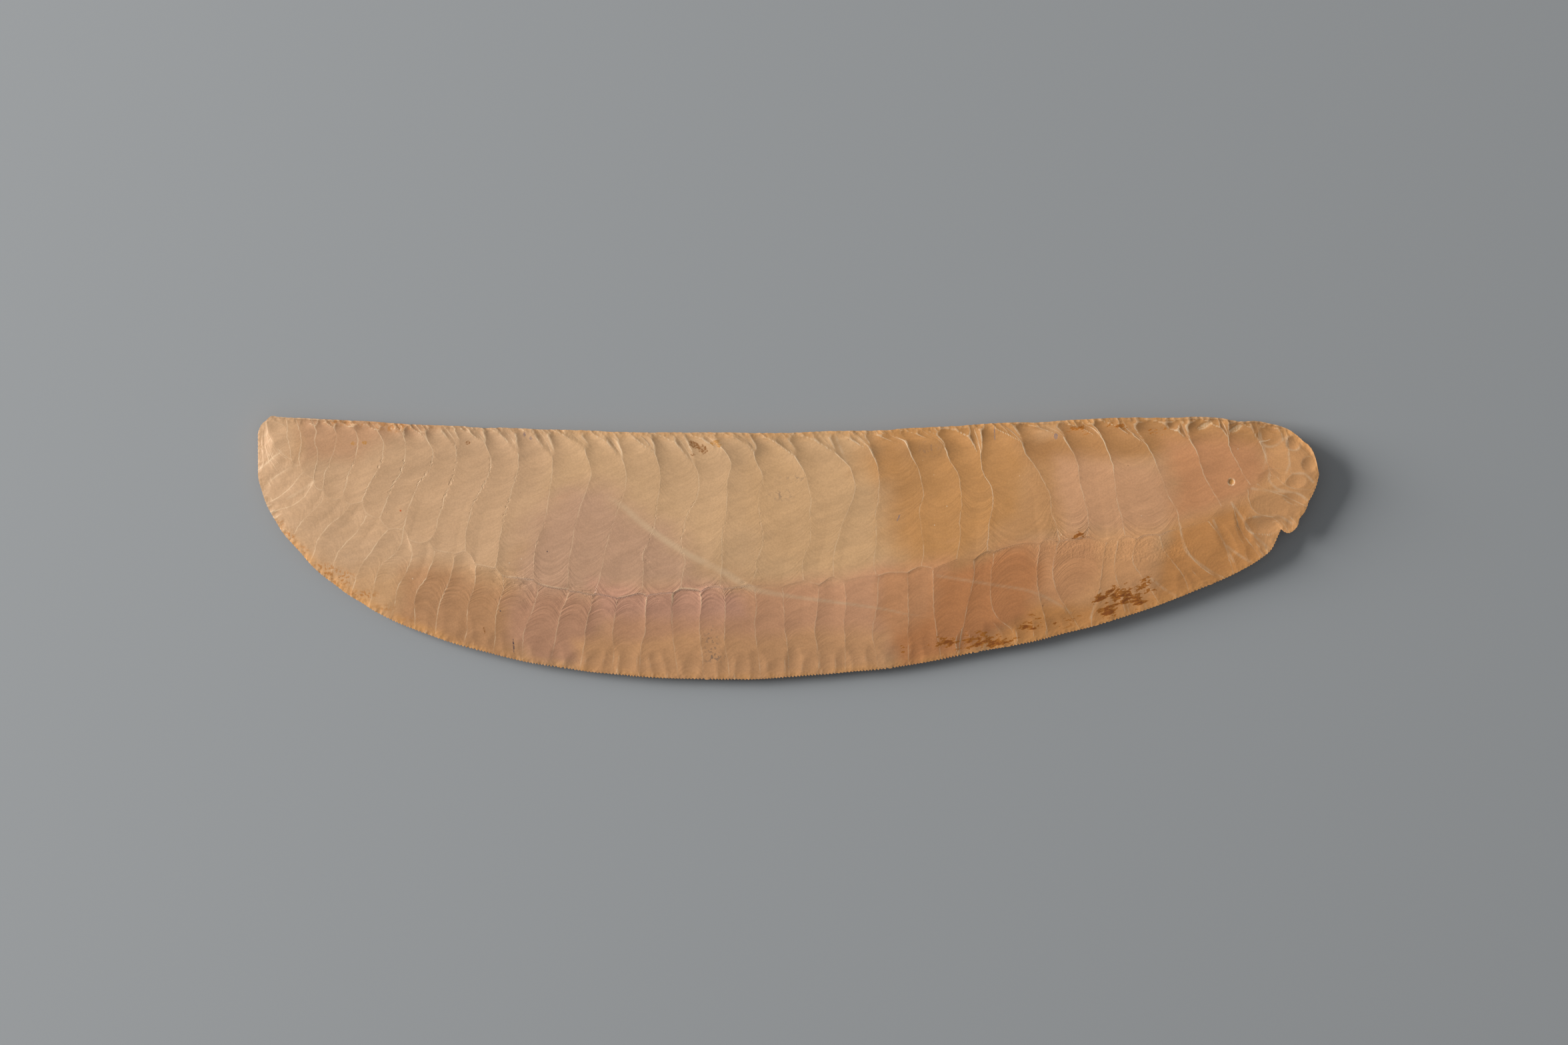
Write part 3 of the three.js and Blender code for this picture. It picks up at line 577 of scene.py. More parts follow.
def cutHinges(sheet):
    # steps along short paths: a drop on the right side that heals within a few cells
    for points, depth in hinges:
        path = smoothPath(points, hingeFall["points"])
        share, extra = hingeFall["search"]
        near = np.linalg.norm(sheet["plan"] - path.mean(axis=0), axis=2) < share * pathLength(path) + extra
        gaps = sheet["plan"][near][:, None] - path[None, 1:-1]
        distance = np.linalg.norm(gaps, axis=2)
        nearest = distance.argmin(axis=1)
        picked = np.arange(len(nearest))
        way = path[2:][nearest] - path[:-2][nearest]
        aside = gaps[picked, nearest]
        right = aside[:, 0] * way[:, 1] - aside[:, 1] * way[:, 0] > 0
        distance = distance[picked, nearest]
        ends = np.minimum(nearest, len(path) - 3 - nearest) / hingeFall["ends"]
        drop = depth * np.clip(ends, 0, 1) * np.exp(-distance / hingeFall["reach"])
        sheet["top"][near] -= drop * np.clip(distance / hingeFall["start"], 0, 1) * right


backSheet = placeSheet(backSet, backPath, backRow)
cuttingSheet = placeSheet(cuttingSet, cuttingPath, cuttingRow)
# The cutting edge is thin along the belly and as blunt as the back at the butt and the point
rimShares = rimAtCrest(cuttingSet, columns)
blunt = np.maximum(closeTo(rimShares, blade["bluntButt"]), closeTo(1 - rimShares, blade["bluntPoint"])) ** 2
edgeThickness = blade["edgeThickness"] * (1 - blunt) + blade["backThickness"] * blunt
backLens = lensHeight(backSheet, blade["backThickness"], backRow["lensPower"])
cuttingLens = lensHeight(cuttingSheet, edgeThickness[None], cuttingRow["lensPower"])

# The scars, deeper under the hooded heads of the back row
backRun = backSheet["run"]
backDepthAlong = (readTable(backDepthMiddle, backRun / along(hoodReach)) * (1 - along(rightShare))
                  + readTable(backDepthRight, backRun) * along(rightShare))
inHood = np.clip((hood["run"] * along(hoodReach) - backRun) / hood["fade"], 0, 1)
backDepthAlong *= along(hoodShare) * inHood + along(leftShare) * (1 - inHood)
cuttingDepthAlong = readTable(cuttingDepthRun, cuttingSheet["run"]) * along(cuttingShare)
for sheet, row, lens, depthAlong in ((backSheet, backRow, backLens, backDepthAlong),
                                     (cuttingSheet, cuttingRow, cuttingLens, cuttingDepthAlong)):
    fall, floorFall = troughFall(sheet, row, depthAlong)
    sheet["top"] = lens - fall
    sheet["start"] = lens - row["retouchStart"] * floorFall
steps = dice.uniform(*crest["steps"], len(cuttingSet["rims"])).clip(0)[cuttingSheet["scar"]]
steps = steps * along(stepSize)
steps = steps * (1 + unevenLine(len(columns), crest["stepJitterReach"], crest["stepJitter"]))
cuttingSheet["top"] -= steps * np.exp(-cuttingSheet["outward"] / crest["stepReach"])

# The retouch
cutRimFlakes(cuttingSheet, **retouch["cuttingLarge"], share=along(longFlakes))
cutRimFlakes(cuttingSheet, **retouch["cuttingSmall"])
cutWedges(backSheet, backSet)
cutRimFlakes(backSheet, **retouch["backSmall"])
leastTop = bladeLow[2] + along(rimRise) + blade["edgeThickness"] * blade["leastEdge"]
for sheet in (cuttingSheet, backSheet):
    cutHinges(sheet)
    for dishes, share in dishSets:
        for x, y, halfLong, halfWide, turn, depth in dishes:
            cutDish(sheet, fromPhoto((x, y)), halfLong * pixel, halfWide * pixel, turn, share * depth,
                    dishWorn)
    np.maximum(sheet["top"], leastTop, out=sheet["top"])
print("flaked face shaped")


# Rows of the flaked face from the cutting edge to the back; the crest row is the back's
def joinRows(name):
    return np.concatenate([cuttingSheet[name][:-1], backSheet[name][::-1]])


def bentPer(plan, height):
    # how sharply the surface turns from row to row, in turns of slope per metre
    gaps = np.maximum(np.linalg.norm(np.diff(plan, axis=0), axis=2), marks["leastGap"])
    slopes = np.diff(height, axis=0) / gaps
    bend = np.zeros_like(height)
    bend[1:-1] = 2 * (slopes[:-1] - slopes[1:]) / (gaps[:-1] + gaps[1:])
    return bend


# How far marks reach from their lines, what drives the fine arcs, and how finely lines are followed
marks = {"ridge": 0.0012, "crest": 0.0015, "rim": 0.004, "paleLine": 0.0006, "secondVein": (0.001, 0.55),
         "bend": 1500, "leastGap": 0.0001, "bow": 0.35, "waveUnit": 1000, "tones": 200, "cuttingTones": 60,
         "onLine": 0.9999, "veinPoints": 900, "secondPoints": 300, "linePoints": 120}
topPlan = joinRows("plan")
topHeight = joinRows("top")
bends = [bentPer(topPlan, topHeight), bentPer(topPlan.swapaxes(0, 1), topHeight.T).T]
across = joinRows("across")
ridgeDistance = np.minimum(across, 1 - across) * joinRows("width")
bow = (2 * across - 1) ** 2 * joinRows("width") * marks["bow"]
tones = dice.uniform(-1, 1, marks["tones"])
backSheet["tone"] = tones[backSheet["scar"]]
cuttingSheet["tone"] = tones[cuttingSheet["scar"] + marks["cuttingTones"]]
scarTone = joinRows("tone")
topFacts = {"ridgeNear": closeTo(ridgeDistance, marks["ridge"]),
            "crestNear": closeTo(joinRows("outward"), marks["crest"]),
            "crease": np.maximum(*bends).clip(0, marks["bend"]) / marks["bend"],
            "hollowDirtAndShade": -np.minimum(*bends).clip(-marks["bend"], 0) / marks["bend"],
            "calm": joinRows("calm"),
            "ridgePale": np.broadcast_to(along(ridgePale), topHeight.shape),
            "crestPale": np.broadcast_to(along(crestPale), topHeight.shape),
            "waveRun": (joinRows("inward") + bow) * marks["waveUnit"]}


def readMesh(elements, name, width=1, kind=float):
    # one measure of every point, edge or corner, in rows of the given width
    values = np.zeros(len(elements) * width, kind)
    elements.foreach_get(name, values)
    return values.reshape(-1, width) if width > 1 else values


def setFact(mesh, name, values, domain="POINT"):
    attribute = mesh.attributes.new(name, "FLOAT", domain)
    attribute.data.foreach_set("value", np.ascontiguousarray(values, float))


def addSheet(name, plan, height):
    # a grid, set out row by row on the given places
    rows, cols = height.shape
    bpy.ops.object.select_all(action="DESELECT")
    bpy.ops.mesh.primitive_grid_add(x_subdivisions=cols - 1, y_subdivisions=rows - 1, size=1)
    sheet = bpy.context.object
    sheet.name = name
    flat = readMesh(sheet.data.vertices, "co", 3)
    column = np.rint((flat[:, 0] + 0.5) * (cols - 1)).astype(int)
    row = np.rint((flat[:, 1] + 0.5) * (rows - 1)).astype(int)
    flat[:, :2] = plan[row, column]
    flat[:, 2] = height[row, column]
    sheet.data.vertices.foreach_set("co", flat.ravel())
    sheet.data.update()
    return sheet, row, column


def selectOnly(*pieces):
    # the last one becomes active
    bpy.ops.object.select_all(action="DESELECT")
    for piece in pieces:
        piece.select_set(True)
    bpy.context.view_layer.objects.active = pieces[-1]


def edit(*steps):
    # runs mesh operators one after another in edit mode
    bpy.ops.object.mode_set(mode="EDIT")
    for operator, settings in steps:
        operator(**settings)
    bpy.ops.object.mode_set(mode="OBJECT")


allParts = (bpy.ops.mesh.select_all, {"action": "SELECT"})
noParts = (bpy.ops.mesh.select_all, {"action": "DESELECT"})
flaked, row, column = addSheet("flint_blade_stone", topPlan, topHeight)
for name, values in topFacts.items():
    setFact(flaked.data, name, values[row, column])
corners = readMesh(flaked.data.loops, "vertex_index", kind=int).reshape(-1, 4)
setFact(flaked.data, "scarTone", scarTone[row[corners].min(axis=1), column[corners].min(axis=1)], "FACE")

# Ground face: straight across from rim to rim, level beyond its margin
share = ((1 - np.cos(np.linspace(0, math.pi, blade["groundRows"]))) / 2)[:, None, None]
groundPlan = topPlan[0] * (1 - share) + topPlan[-1] * share
rimPoints = np.concatenate([path[::blade["groundSpacing"]] for path in (backPath, cuttingPath)])
inward = np.zeros(groundPlan.shape[:2])
inward[1:-1] = [[np.linalg.norm(rimPoints - point, axis=1).min() for point in line]
                for line in groundPlan[1:-1]]
groundHeight = bladeLow[2] + along(rimRise) * closeTo(inward, blade["groundMargin"]) ** 2
ground, _, _ = addSheet("ground_face", groundPlan, groundHeight)
edit(allParts, (bpy.ops.mesh.flip_normals, {}))
for sheet in (flaked, ground):
    selectOnly(sheet)
    edit(allParts, (bpy.ops.mesh.remove_doubles, {"threshold": blade["weldGap"]}))

# Join the two faces and bridge their rims into the thin edge
selectOnly(ground, flaked)
bpy.ops.object.join()
edit((bpy.ops.mesh.select_mode, {"type": "EDGE"}), noParts,
     (bpy.ops.mesh.select_non_manifold, {"extend": False, "use_wire": False, "use_boundary": True,
                                         "use_multi_face": False, "use_non_contiguous": False,
                                         "use_verts": False}),
     (bpy.ops.mesh.bridge_edge_loops, {}))
stoneMesh = flaked.data


def nearPath(path, spots):
    # for every spot: its distance to the path, the nearest point's number and its share of the length
    finder = KDTree(len(path))
    for index, (x, y) in enumerate(path):
        finder.insert((x, y, 0), index)
    finder.balance()
    found = [finder.find((x, y, 0)) for x, y in spots.tolist()]
    nearest = np.array([hit[1] for hit in found])
    return np.array([hit[2] for hit in found]), nearest, pathShares(path)[nearest]


# Teeth: cut the cutting edge's lines finer, then nick it between the teeth
points = readMesh(stoneMesh.vertices, "co", 3)
edgeEnds = readMesh(stoneMesh.edges, "vertices", 2, int)
rimKeys = {(round(x, 7), round(y, 7)) for x, y in topPlan[0]}
onRim = np.array([(round(x, 7), round(y, 7)) in rimKeys for x, y, _ in points.tolist()])
spans = np.linalg.norm(points[edgeEnds[:, 0], :2] - points[edgeEnds[:, 1], :2], axis=1)
rimEdges = onRim[edgeEnds].all(axis=1) & (spans > teeth["shortest"])
edit(noParts)
stoneMesh.edges.foreach_set("select", rimEdges)
edit((bpy.ops.mesh.subdivide, {"number_cuts": teeth["cuts"], "ngon": False, "quadcorner": "INNERVERT"}))
nicked = np.flatnonzero(readMesh(stoneMesh.vertices, "select", kind=bool))
points = readMesh(stoneMesh.vertices, "co", 3)
cuttingLength = pathLength(cuttingPath)
_, nearest, shares = nearPath(cuttingPath, points[nicked, :2])
for index, near, share in zip(nicked, nearest, shares):
    before = cuttingPath[max(0, near - teeth["look"])]
    after = cuttingPath[min(len(cuttingPath) - 1, near + teeth["look"])]
    way = (after - before) / np.linalg.norm(after - before)
    phase = share * cuttingLength / teeth["pitch"]
    phase += sum(size * math.sin(share * rate) for size, rate in teeth["sways"])
    notch = abs(math.cos(math.pi * phase)) ** teeth["power"]
    least, sway, rate = teeth["wearSway"]
    wear = readTable(toothWear, share) * (least + sway * math.sin(share * rate))
    inset = teeth["depth"] * notch * wear
    points[index, 0] -= way[1] * inset
    points[index, 1] += way[0] * inset
points[:, 0] = np.clip(points[:, 0], bladeLow[0], bladeHigh[0])
stoneMesh.vertices.foreach_set("co", points.ravel())
stoneMesh.update()
print("faces", len(stoneMesh.polygons), "rim edges", int(rimEdges.sum()))
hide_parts("flint_blade")
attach(flaked, "root")
selectOnly(flaked)
bpy.ops.object.shade_smooth()


# Keep the ridges, the crest and the rim crisp
def turnedBy(turn):
    # the edges over which the surface bends by more than the given degrees
    edit(noParts, (bpy.ops.mesh.edges_select_sharp, {"sharpness": math.radians(turn)}))
    return readMesh(stoneMesh.edges, "select", kind=bool)


edgeEnds = readMesh(stoneMesh.edges, "vertices", 2, int)
onLine = np.zeros(len(edgeEnds), bool)
for name in ("ridgeNear", "crestNear"):
    near = readMesh(stoneMesh.attributes[name].data, "value")
    onLine |= (near > marks["onLine"])[edgeEnds].all(axis=1)
crisp = (onLine & turnedBy(blade["crispTurn"])) | turnedBy(blade["foldedTurn"])
stoneMesh.edges.foreach_set("select", crisp)
edit((bpy.ops.mesh.mark_sharp, {}))
print("stone shaped")

# Colour zones: half width of the soft border in pixels, tint, outline in pixels; later ones lie on top
zoneOutlines = {
    "creamZone": (60, (0.600, 0.360, 0.181), [(780, 590), (1300, 590), (1300, 880), (830, 880), (770, 740)]),
    "sandZone": (60, (0.610, 0.358, 0.170), [(1130, 590), (1313, 590), (1345, 860), (1250, 870), (1150, 850),
        (1110, 760)]),
    "shellZone": (50, (0.579, 0.347, 0.185), [(370, 600), (430, 600), (445, 680), (530, 590), (820, 590),
        (835, 680), (800, 760), (760, 850), (690, 850), (600, 855), (520, 870), (450, 820), (370, 770)]),
    # Partly the stone's redder colour, partly painted shade along the back rim at the butt
    "buttRimTintAndShadeZone": (30, (0.535, 0.287, 0.146), [(445, 590), (660, 590), (650, 645), (560, 670), (530, 690),
        (455, 690)]),
    "goldZone": (60, (0.535, 0.253, 0.082), [(1305, 590), (1530, 590), (1548, 700), (1540, 780), (1470, 830),
        (1420, 848), (1372, 836), (1340, 795), (1326, 745), (1316, 690)]),
    "tawnyZone": (25, (0.545, 0.270, 0.104), [(1545, 680), (1595, 670), (1605, 740), (1600, 800),
        (1540, 805), (1480, 830), (1440, 845), (1480, 805), (1530, 775)]),
    "ochreZone": (25, (0.475, 0.222, 0.075), [(1610, 590), (1940, 590), (1930, 680), (1860, 682),
        (1780, 672), (1700, 688), (1630, 690), (1540, 690), (1528, 662), (1590, 650)]),
    "amberZone": (30, (0.650, 0.284, 0.086), [(1500, 1060), (1485, 950), (1540, 908), (1640, 900),
        (1730, 880), (1755, 790), (1800, 768), (1860, 750), (1915, 735), (1925, 700), (2000, 690),
        (2000, 900), (1700, 1060)]),
    "tipZone": (25, (0.665, 0.327, 0.128), [(1885, 700), (1920, 655), (2000, 655), (2000, 850), (1900, 850),
        (1870, 770)]),
    # Painted shade: the point's right edge, which faces away from the light, gets the tip tint darkened to
    # about four fifths
    "tipEdgeShadeZone": (18, (0.550, 0.270, 0.104), [(1935, 640), (2000, 640), (2000, 800), (1945, 795),
        (1958, 745), (1962, 700), (1950, 670)]),
    "blushZone": (35, (0.612, 0.314, 0.154), [(1590, 690), (1650, 698), (1745, 700), (1770, 740),
        (1745, 800), (1640, 800), (1600, 800), (1590, 740)]),
    "salmonZone": (35, (0.573, 0.256, 0.107), [(1750, 660), (1830, 655), (1890, 665), (1900, 700),
        (1870, 745), (1810, 775), (1760, 780), (1755, 720)]),
    "honeyZone": (35, (0.715, 0.352, 0.147), [(1600, 815), (1700, 800), (1738, 800), (1735, 880),
        (1700, 905), (1620, 905), (1585, 860)]),
    "mauveZone": (55, (0.524, 0.299, 0.176), [(775, 900), (785, 840), (815, 790), (860, 750), (900, 742),
        (950, 765), (1000, 800), (1040, 830), (1100, 870), (1110, 900)]),
    "rustZone": (35, (0.485, 0.242, 0.107), [(585, 925), (605, 860), (650, 850), (720, 870), (770, 890),
        (775, 960), (830, 1060), (560, 1060)]),
    "rosyZone": (35, (0.615, 0.306, 0.158), [(900, 905), (1080, 885), (1130, 878), (1250, 872), (1330, 855),
        (1350, 870), (1340, 980), (1250, 1000), (1100, 1000), (900, 990)]),
    "plumZone": (30, (0.508, 0.255, 0.142), [(760, 905), (800, 892), (900, 895), (905, 1000), (800, 1000),
        (760, 960)]),
    "lilacZone": (26, (0.590, 0.298, 0.184), [(885, 872), (960, 876), (1020, 870), (1060, 872), (1110, 890),
        (1120, 925), (1000, 938), (900, 932)]),
    "coralZone": (30, (0.600, 0.275, 0.118), [(1330, 865), (1390, 850), (1420, 850), (1420, 900),
        (1410, 970), (1340, 980), (1325, 910)]),
    "peachZone": (30, (0.612, 0.286, 0.121), [(1510, 825), (1560, 808), (1640, 805), (1640, 860),
        (1600, 900), (1540, 900), (1515, 870)]),
    "redZone": (28, (0.560, 0.226, 0.080), [(1416, 875), (1462, 850), (1510, 824), (1542, 820), (1562, 850),
        (1545, 892), (1540, 925), (1480, 965), (1440, 1000), (1350, 1000), (1350, 960), (1405, 930)]),
    "emberZone": (24, (0.640, 0.325, 0.145), [(860, 962), (900, 955), (1000, 952), (1150, 950), (1300, 950),
        (1330, 955), (1320, 1060), (880, 1060)]),
}
# Small ones as soft blobs: middle pixel, half sizes in pixels, strength
zoneBlobs = {
    "crustZone": [(418, 785, 7, 14, 0.6), (432, 806, 9, 12, 0.9), (450, 828, 14, 10, 0.8),
        (478, 855, 20, 10, 1.1), (503, 868, 28, 13, 1.1), (540, 893, 30, 9, 0.8), (575, 912, 24, 7, 0.6),
        (615, 930, 26, 6, 0.5), (545, 638, 30, 8, 0.5), (590, 640, 20, 10, 0.8), (500, 633, 28, 7, 0.6),
        (640, 641, 40, 5, 0.4)],
    "fleckZone": [(1418, 962, 16, 8, 0.8), (1470, 957, 44, 10, 0.75), (1543, 942, 13, 5, 1.2),
        (1556, 928, 15, 12, 0.5), (1606, 926, 18, 8, 0.6), (1663, 919, 11, 8, 1.6), (1690, 893, 34, 16, 0.9),
        (1722, 876, 14, 11, 1.0), (1650, 897, 12, 11, 0.8), (1675, 641, 18, 7, 0.8), (1621, 645, 17, 7, 0.7),
        (1738, 646, 14, 7, 0.7), (1616, 804, 14, 5, 0.9), (1620, 798, 6, 5, 0.8), (1440, 970, 50, 6, 0.5),
        (1580, 940, 30, 8, 0.4), (1700, 905, 24, 8, 0.7), (1352, 975, 14, 14, 0.4), (1500, 965, 40, 8, 0.6)],
    "seamZone": [(725, 858, 30, 14, 0.7), (780, 872, 30, 14, 1.0), (875, 888, 30, 12, 1.0),
        (975, 894, 24, 12, 0.9), (1075, 882, 36, 14, 1.0), (1125, 876, 20, 12, 0.8),
        (1228, 872, 24, 10, 0.5), (970, 835, 8, 20, 0.8), (1592, 804, 26, 10, 0.8)],
    # Painted shade: darkens the hooded scar heads under the back rim and a few stretches at the butt and
    # along the belly
    "paintedShadeZone": [(1230, 684, 44, 17, 0.8), (1300, 680, 30, 16, 0.8), (1362, 677, 40, 18, 1.1),
        (1408, 672, 22, 14, 0.8), (470, 772, 62, 52, 0.6), (530, 838, 70, 40, 0.5), (700, 960, 60, 24, 0.5),
        (1090, 920, 60, 36, 0.4), (1560, 668, 34, 14, 0.5), (1235, 965, 50, 20, 0.4)],
    "roughZone": [(1660, 826, 105, 16, 1.2), (1740, 826, 50, 22, 0.8), (1580, 818, 40, 8, 0.8)],
    "smudgeZone": [(1067, 965, 10, 24, 0.6), (1072, 988, 16, 7, 0.5), (1172, 742, 17, 8, 0.5),
        (1190, 718, 18, 6, 0.4), (1395, 672, 14, 10, 0.4)],
    "chipZone": [(500, 700, 30, 30, 0.5), (560, 710, 40, 40, 0.8), (620, 710, 40, 40, 1.0),
        (680, 725, 40, 50, 1.0), (745, 740, 40, 60, 0.8), (800, 800, 60, 60, 0.6), (1000, 790, 80, 70, 0.8),
        (1150, 800, 90, 60, 0.5), (1500, 740, 260, 80, 0.4)],
    "rippleZone": [(590, 850, 40, 30, 0.5), (660, 890, 40, 30, 0.7), (760, 890, 60, 30, 0.7),
        (850, 905, 70, 35, 0.8), (830, 850, 60, 25, 0.5), (1060, 890, 90, 22, 0.9), (940, 900, 50, 24, 0.7),
        (1350, 740, 40, 60, 0.35), (1470, 760, 50, 70, 0.5), (1520, 830, 50, 30, 0.55),
        (1612, 792, 30, 22, 1.5), (1600, 850, 50, 30, 0.6), (1720, 790, 60, 30, 0.7),
        (1200, 950, 50, 20, 0.5), (1700, 680, 50, 40, 0.4), (1915, 715, 30, 20, 0.6)],
}
# The two pale veins, and how strong and how wide the first one is along its length
vein = [(895, 738), (930, 757), (960, 783), (1000, 812), (1040, 836), (1085, 858), (1126, 882), (1175, 893),
        (1232, 901), (1285, 908), (1330, 915), (1369, 923), (1430, 928)]
secondVein = [(1407, 864), (1450, 871), (1493, 878), (1545, 887), (1580, 902), (1608, 920)]
veinStrength = [(0, 0.1), (0.08, 0.8), (0.45, 1), (0.6, 0.75), (0.85, 0.6), (1, 0.15)]
veinReach = [(0, 0.0016), (0.45, 0.0015), (0.6, 0.001), (1, 0.0007)]
# How ochre the two rims are, along their length
bellyStrength = [(0, 0), (0.06, 0.15), (0.11, 0.9), (0.24, 1), (0.3, 0.75), (0.85, 0.85), (1, 0.6)]
backStrength = [(0, 0), (0.03, 0.1), (0.06, 0.6), (0.12, 0.7), (0.2, 0.5), (0.33, 0.7), (0.6, 0.8),
                (0.95, 0.9), (1, 0.6)]
# Pale lines of small ridges near the point and along the belly, partly worn stone and partly painted
# highlight
paleLines = [
    [(1889, 634), (1893, 658), (1900, 689), (1896, 703)],
    [(1891, 663), (1903, 670), (1917, 667), (1927, 658)],
    [(1930, 656), (1934, 672), (1947, 675), (1954, 665)],
    [(1906, 703), (1905, 720), (1917, 733), (1934, 737)],
    [(1934, 679), (1935, 696), (1930, 710)],
    [(1941, 710), (1958, 711), (1971, 723)],
    [(1879, 733), (1910, 737), (1947, 740), (1962, 750)],
    [(1848, 754), (1862, 774), (1882, 802), (1906, 824)],
    [(1882, 776), (1917, 774), (1941, 786)],
    [(1821, 781), (1841, 822), (1852, 843)],
    [(1841, 819), (1862, 834), (1879, 844)],
    [(1770, 786), (1780, 826), (1811, 853), (1833, 866)],
    [(1728, 868), (1748, 884), (1768, 896)],
    [(1652, 886), (1645, 905), (1637, 930)],
    [(1700, 893), (1716, 902), (1722, 914)],
    [(397, 634), (400, 647), (391, 656)],
    [(386, 703), (405, 689), (419, 677)],
    [(396, 727), (416, 712), (444, 698)],
    [(429, 748), (452, 735), (470, 722)],
    [(1253, 650), (1258, 665), (1264, 679), (1270, 694)],
]


def outlineAmount(points, soft):
    # 1 well inside an outline, 0 well outside, even across its soft border
    corners = fromPhoto(points)
    inside = np.zeros(len(places), bool)
    nearest = np.full(len(places), 1.0)
    for low, high in zip(corners, np.roll(corners, -1, axis=0)):
        side = high - low
        share = np.clip((places - low) @ side / (side @ side), 0, 1)
        nearest = np.minimum(nearest, np.linalg.norm(places - low - share[:, None] * side, axis=1))
        crosses = (low[1] > places[:, 1]) != (high[1] > places[:, 1])
        if crosses.any():
            inside ^= crosses & (places[:, 0] < low[0] + (places[:, 1] - low[1]) * side[0] / side[1])
    return np.clip(0.5 + np.where(inside, nearest, -nearest) / (2 * soft * pixel), 0, 1)


places = readMesh(stoneMesh.vertices, "co", 3)[:, :2]
for zoneName, (soft, _, points) in zoneOutlines.items():
    setFact(stoneMesh, zoneName, outlineAmount(points, soft))
for zoneName, blobs in zoneBlobs.items():
    amount = np.zeros(len(places))
    for x, y, halfX, halfY, strength in blobs:
        offset = (places - fromPhoto((x, y))) / (pixel * np.array([halfX, halfY]))
        amount += strength * np.exp(-(offset ** 2).sum(axis=1))
    setFact(stoneMesh, zoneName, amount)
distance, _, shares = nearPath(smoothPath(vein, marks["veinPoints"]), places)
veinNear = closeTo(distance, readTable(veinReach, shares)) * readTable(veinStrength, shares)
secondReach, secondShare = marks["secondVein"]
distance, _, _ = nearPath(smoothPath(secondVein, marks["secondPoints"]), places)
setFact(stoneMesh, "veinNear", np.maximum(veinNear, closeTo(distance, secondReach) * secondShare))
rimNear = []
rimOchre = []
for path, table in ((backPath, backStrength), (cuttingPath, bellyStrength)):
    distance, _, shares = nearPath(path, places)
    rimNear.append(closeTo(distance, marks["rim"]))
    rimOchre.append(rimNear[-1] * readTable(table, shares))
setFact(stoneMesh, "rimNear", np.maximum(*rimNear))
setFact(stoneMesh, "rimOchre", np.maximum(*rimOchre))
lineDots = np.concatenate([smoothPath(points, marks["linePoints"]) for points in paleLines])
setFact(stoneMesh, "lineNear", closeTo(nearPath(lineDots, places)[0], marks["paleLine"]))
print("zones set")

# Stone material
stone = bpy.data.materials.new("honey_flint")
stone.use_nodes = True
tree = stone.node_tree
shader = tree.nodes["Principled BSDF"]


def plug(socket, value):
    if isinstance(value, bpy.types.NodeSocket):
        tree.links.new(value, socket)
    else:
        socket.default_value = value


def addNode(kind, sockets, **settings):
    # a node with its settings, and what goes into its sockets by name or number
    node = tree.nodes.new(kind)
    for name, value in settings.items():
        setattr(node, name, value)
    for socket, value in sockets.items():
        plug(node.inputs[socket], value)
    return node


def calculate(operation, result, *others):
    for part in others:
        result = addNode("ShaderNodeMath", {0: result, 1: part}, operation=operation).outputs[0]
    return result


def times(*parts):
    return calculate("MULTIPLY", *parts)


def plus(*parts):
    return calculate("ADD", *parts)


def mixColor(factor, first, second, blend="MIX"):
    sockets = {0: factor, 6: first, 7: second}
    return addNode("ShaderNodeMix", sockets, data_type="RGBA", blend_type=blend).outputs[2]


def spread(value, low, high, toLow=0.0, toHigh=1.0):
    # maps one span of values to another, eased and kept inside it
    sockets = dict(enumerate((value, low, high, toLow, toHigh)))
    return addNode("ShaderNodeMapRange", sockets, interpolation_type="SMOOTHSTEP").outputs[0]


def placed(x, y, lengthX, lengthY, turn):
    # places on the stone, measured from one of them in the given lengths along turned axes
    sockets = {"Vector": onStone, "Location": (x, y, 0), "Rotation": (0, 0, math.radians(turn)),
               "Scale": (lengthX, lengthY, 1)}
    return addNode("ShaderNodeMapping", sockets, vector_type="TEXTURE").outputs["Vector"]


def noiseOf(vector, scale, detail, roughness=0.5):
    sockets = {"Vector": vector, "Scale": scale, "Detail": detail, "Roughness": roughness}
    return addNode("ShaderNodeTexNoise", sockets).outputs["Fac"]


def noise(scale, detail, length=1.0, turn=0.0, roughness=0.5):
    # cloudy marks, drawn out by the given length along the given turn
    return noiseOf(placed(0, 0, length, 1, turn), scale, detail, roughness)


def cellsOf(scale):
    return addNode("ShaderNodeTexVoronoi", {"Vector": onStone, "Scale": scale})


def fact(name):
    return addNode("ShaderNodeAttribute", {}, attribute_name=name).outputs["Fac"]


def patchy(name, low, high, pattern):
    # a fact as a mask, broken up by a pattern
    return times(spread(fact(name), low, high), pattern)


# The stone's own coordinates
onStone = addNode("ShaderNodeTexCoord", {}).outputs["Object"]
# Patterns: how many marks to the metre, detail, how long they are drawn out, turn in degrees, roughness
cloud = noise(45, 4)
wisp = noise(90, 5, 4.0, 24, 0.6)
brush = noise(620, 5, 7.0, 22, 0.6)
mottle = noise(330, 3)
grain = noise(2600, 2)
streak = noise(1250, 3, 2.3, 16, 0.6)
grainy = spread(noise(2400, 2), 0.38, 0.58, 0.35, 0.95)

# Arcs that follow the way each flake broke, different in every scar
arcRates = {"waveRun": 1.5, "scarTone": 9.0, "wisp": 6.0}
arcPlaces = {0: times(fact("waveRun"), arcRates["waveRun"]), 1: times(fact("scarTone"), arcRates["scarTone"]),
             2: times(wisp, arcRates["wisp"])}
arcs = noiseOf(addNode("ShaderNodeCombineXYZ", arcPlaces).outputs[0], 1.0, 2.0)


def zoneMask(name):
    # a zone with its border moved about by the clouds and wisps
    edge = {"low": 0.2, "high": 0.8, "broken": 0.7}
    moved = [times(calculate("SUBTRACT", pattern, 0.5), edge["broken"]) for pattern in (cloud, wisp)]
    return spread(plus(fact(name), plus(*moved)), edge["low"], edge["high"])


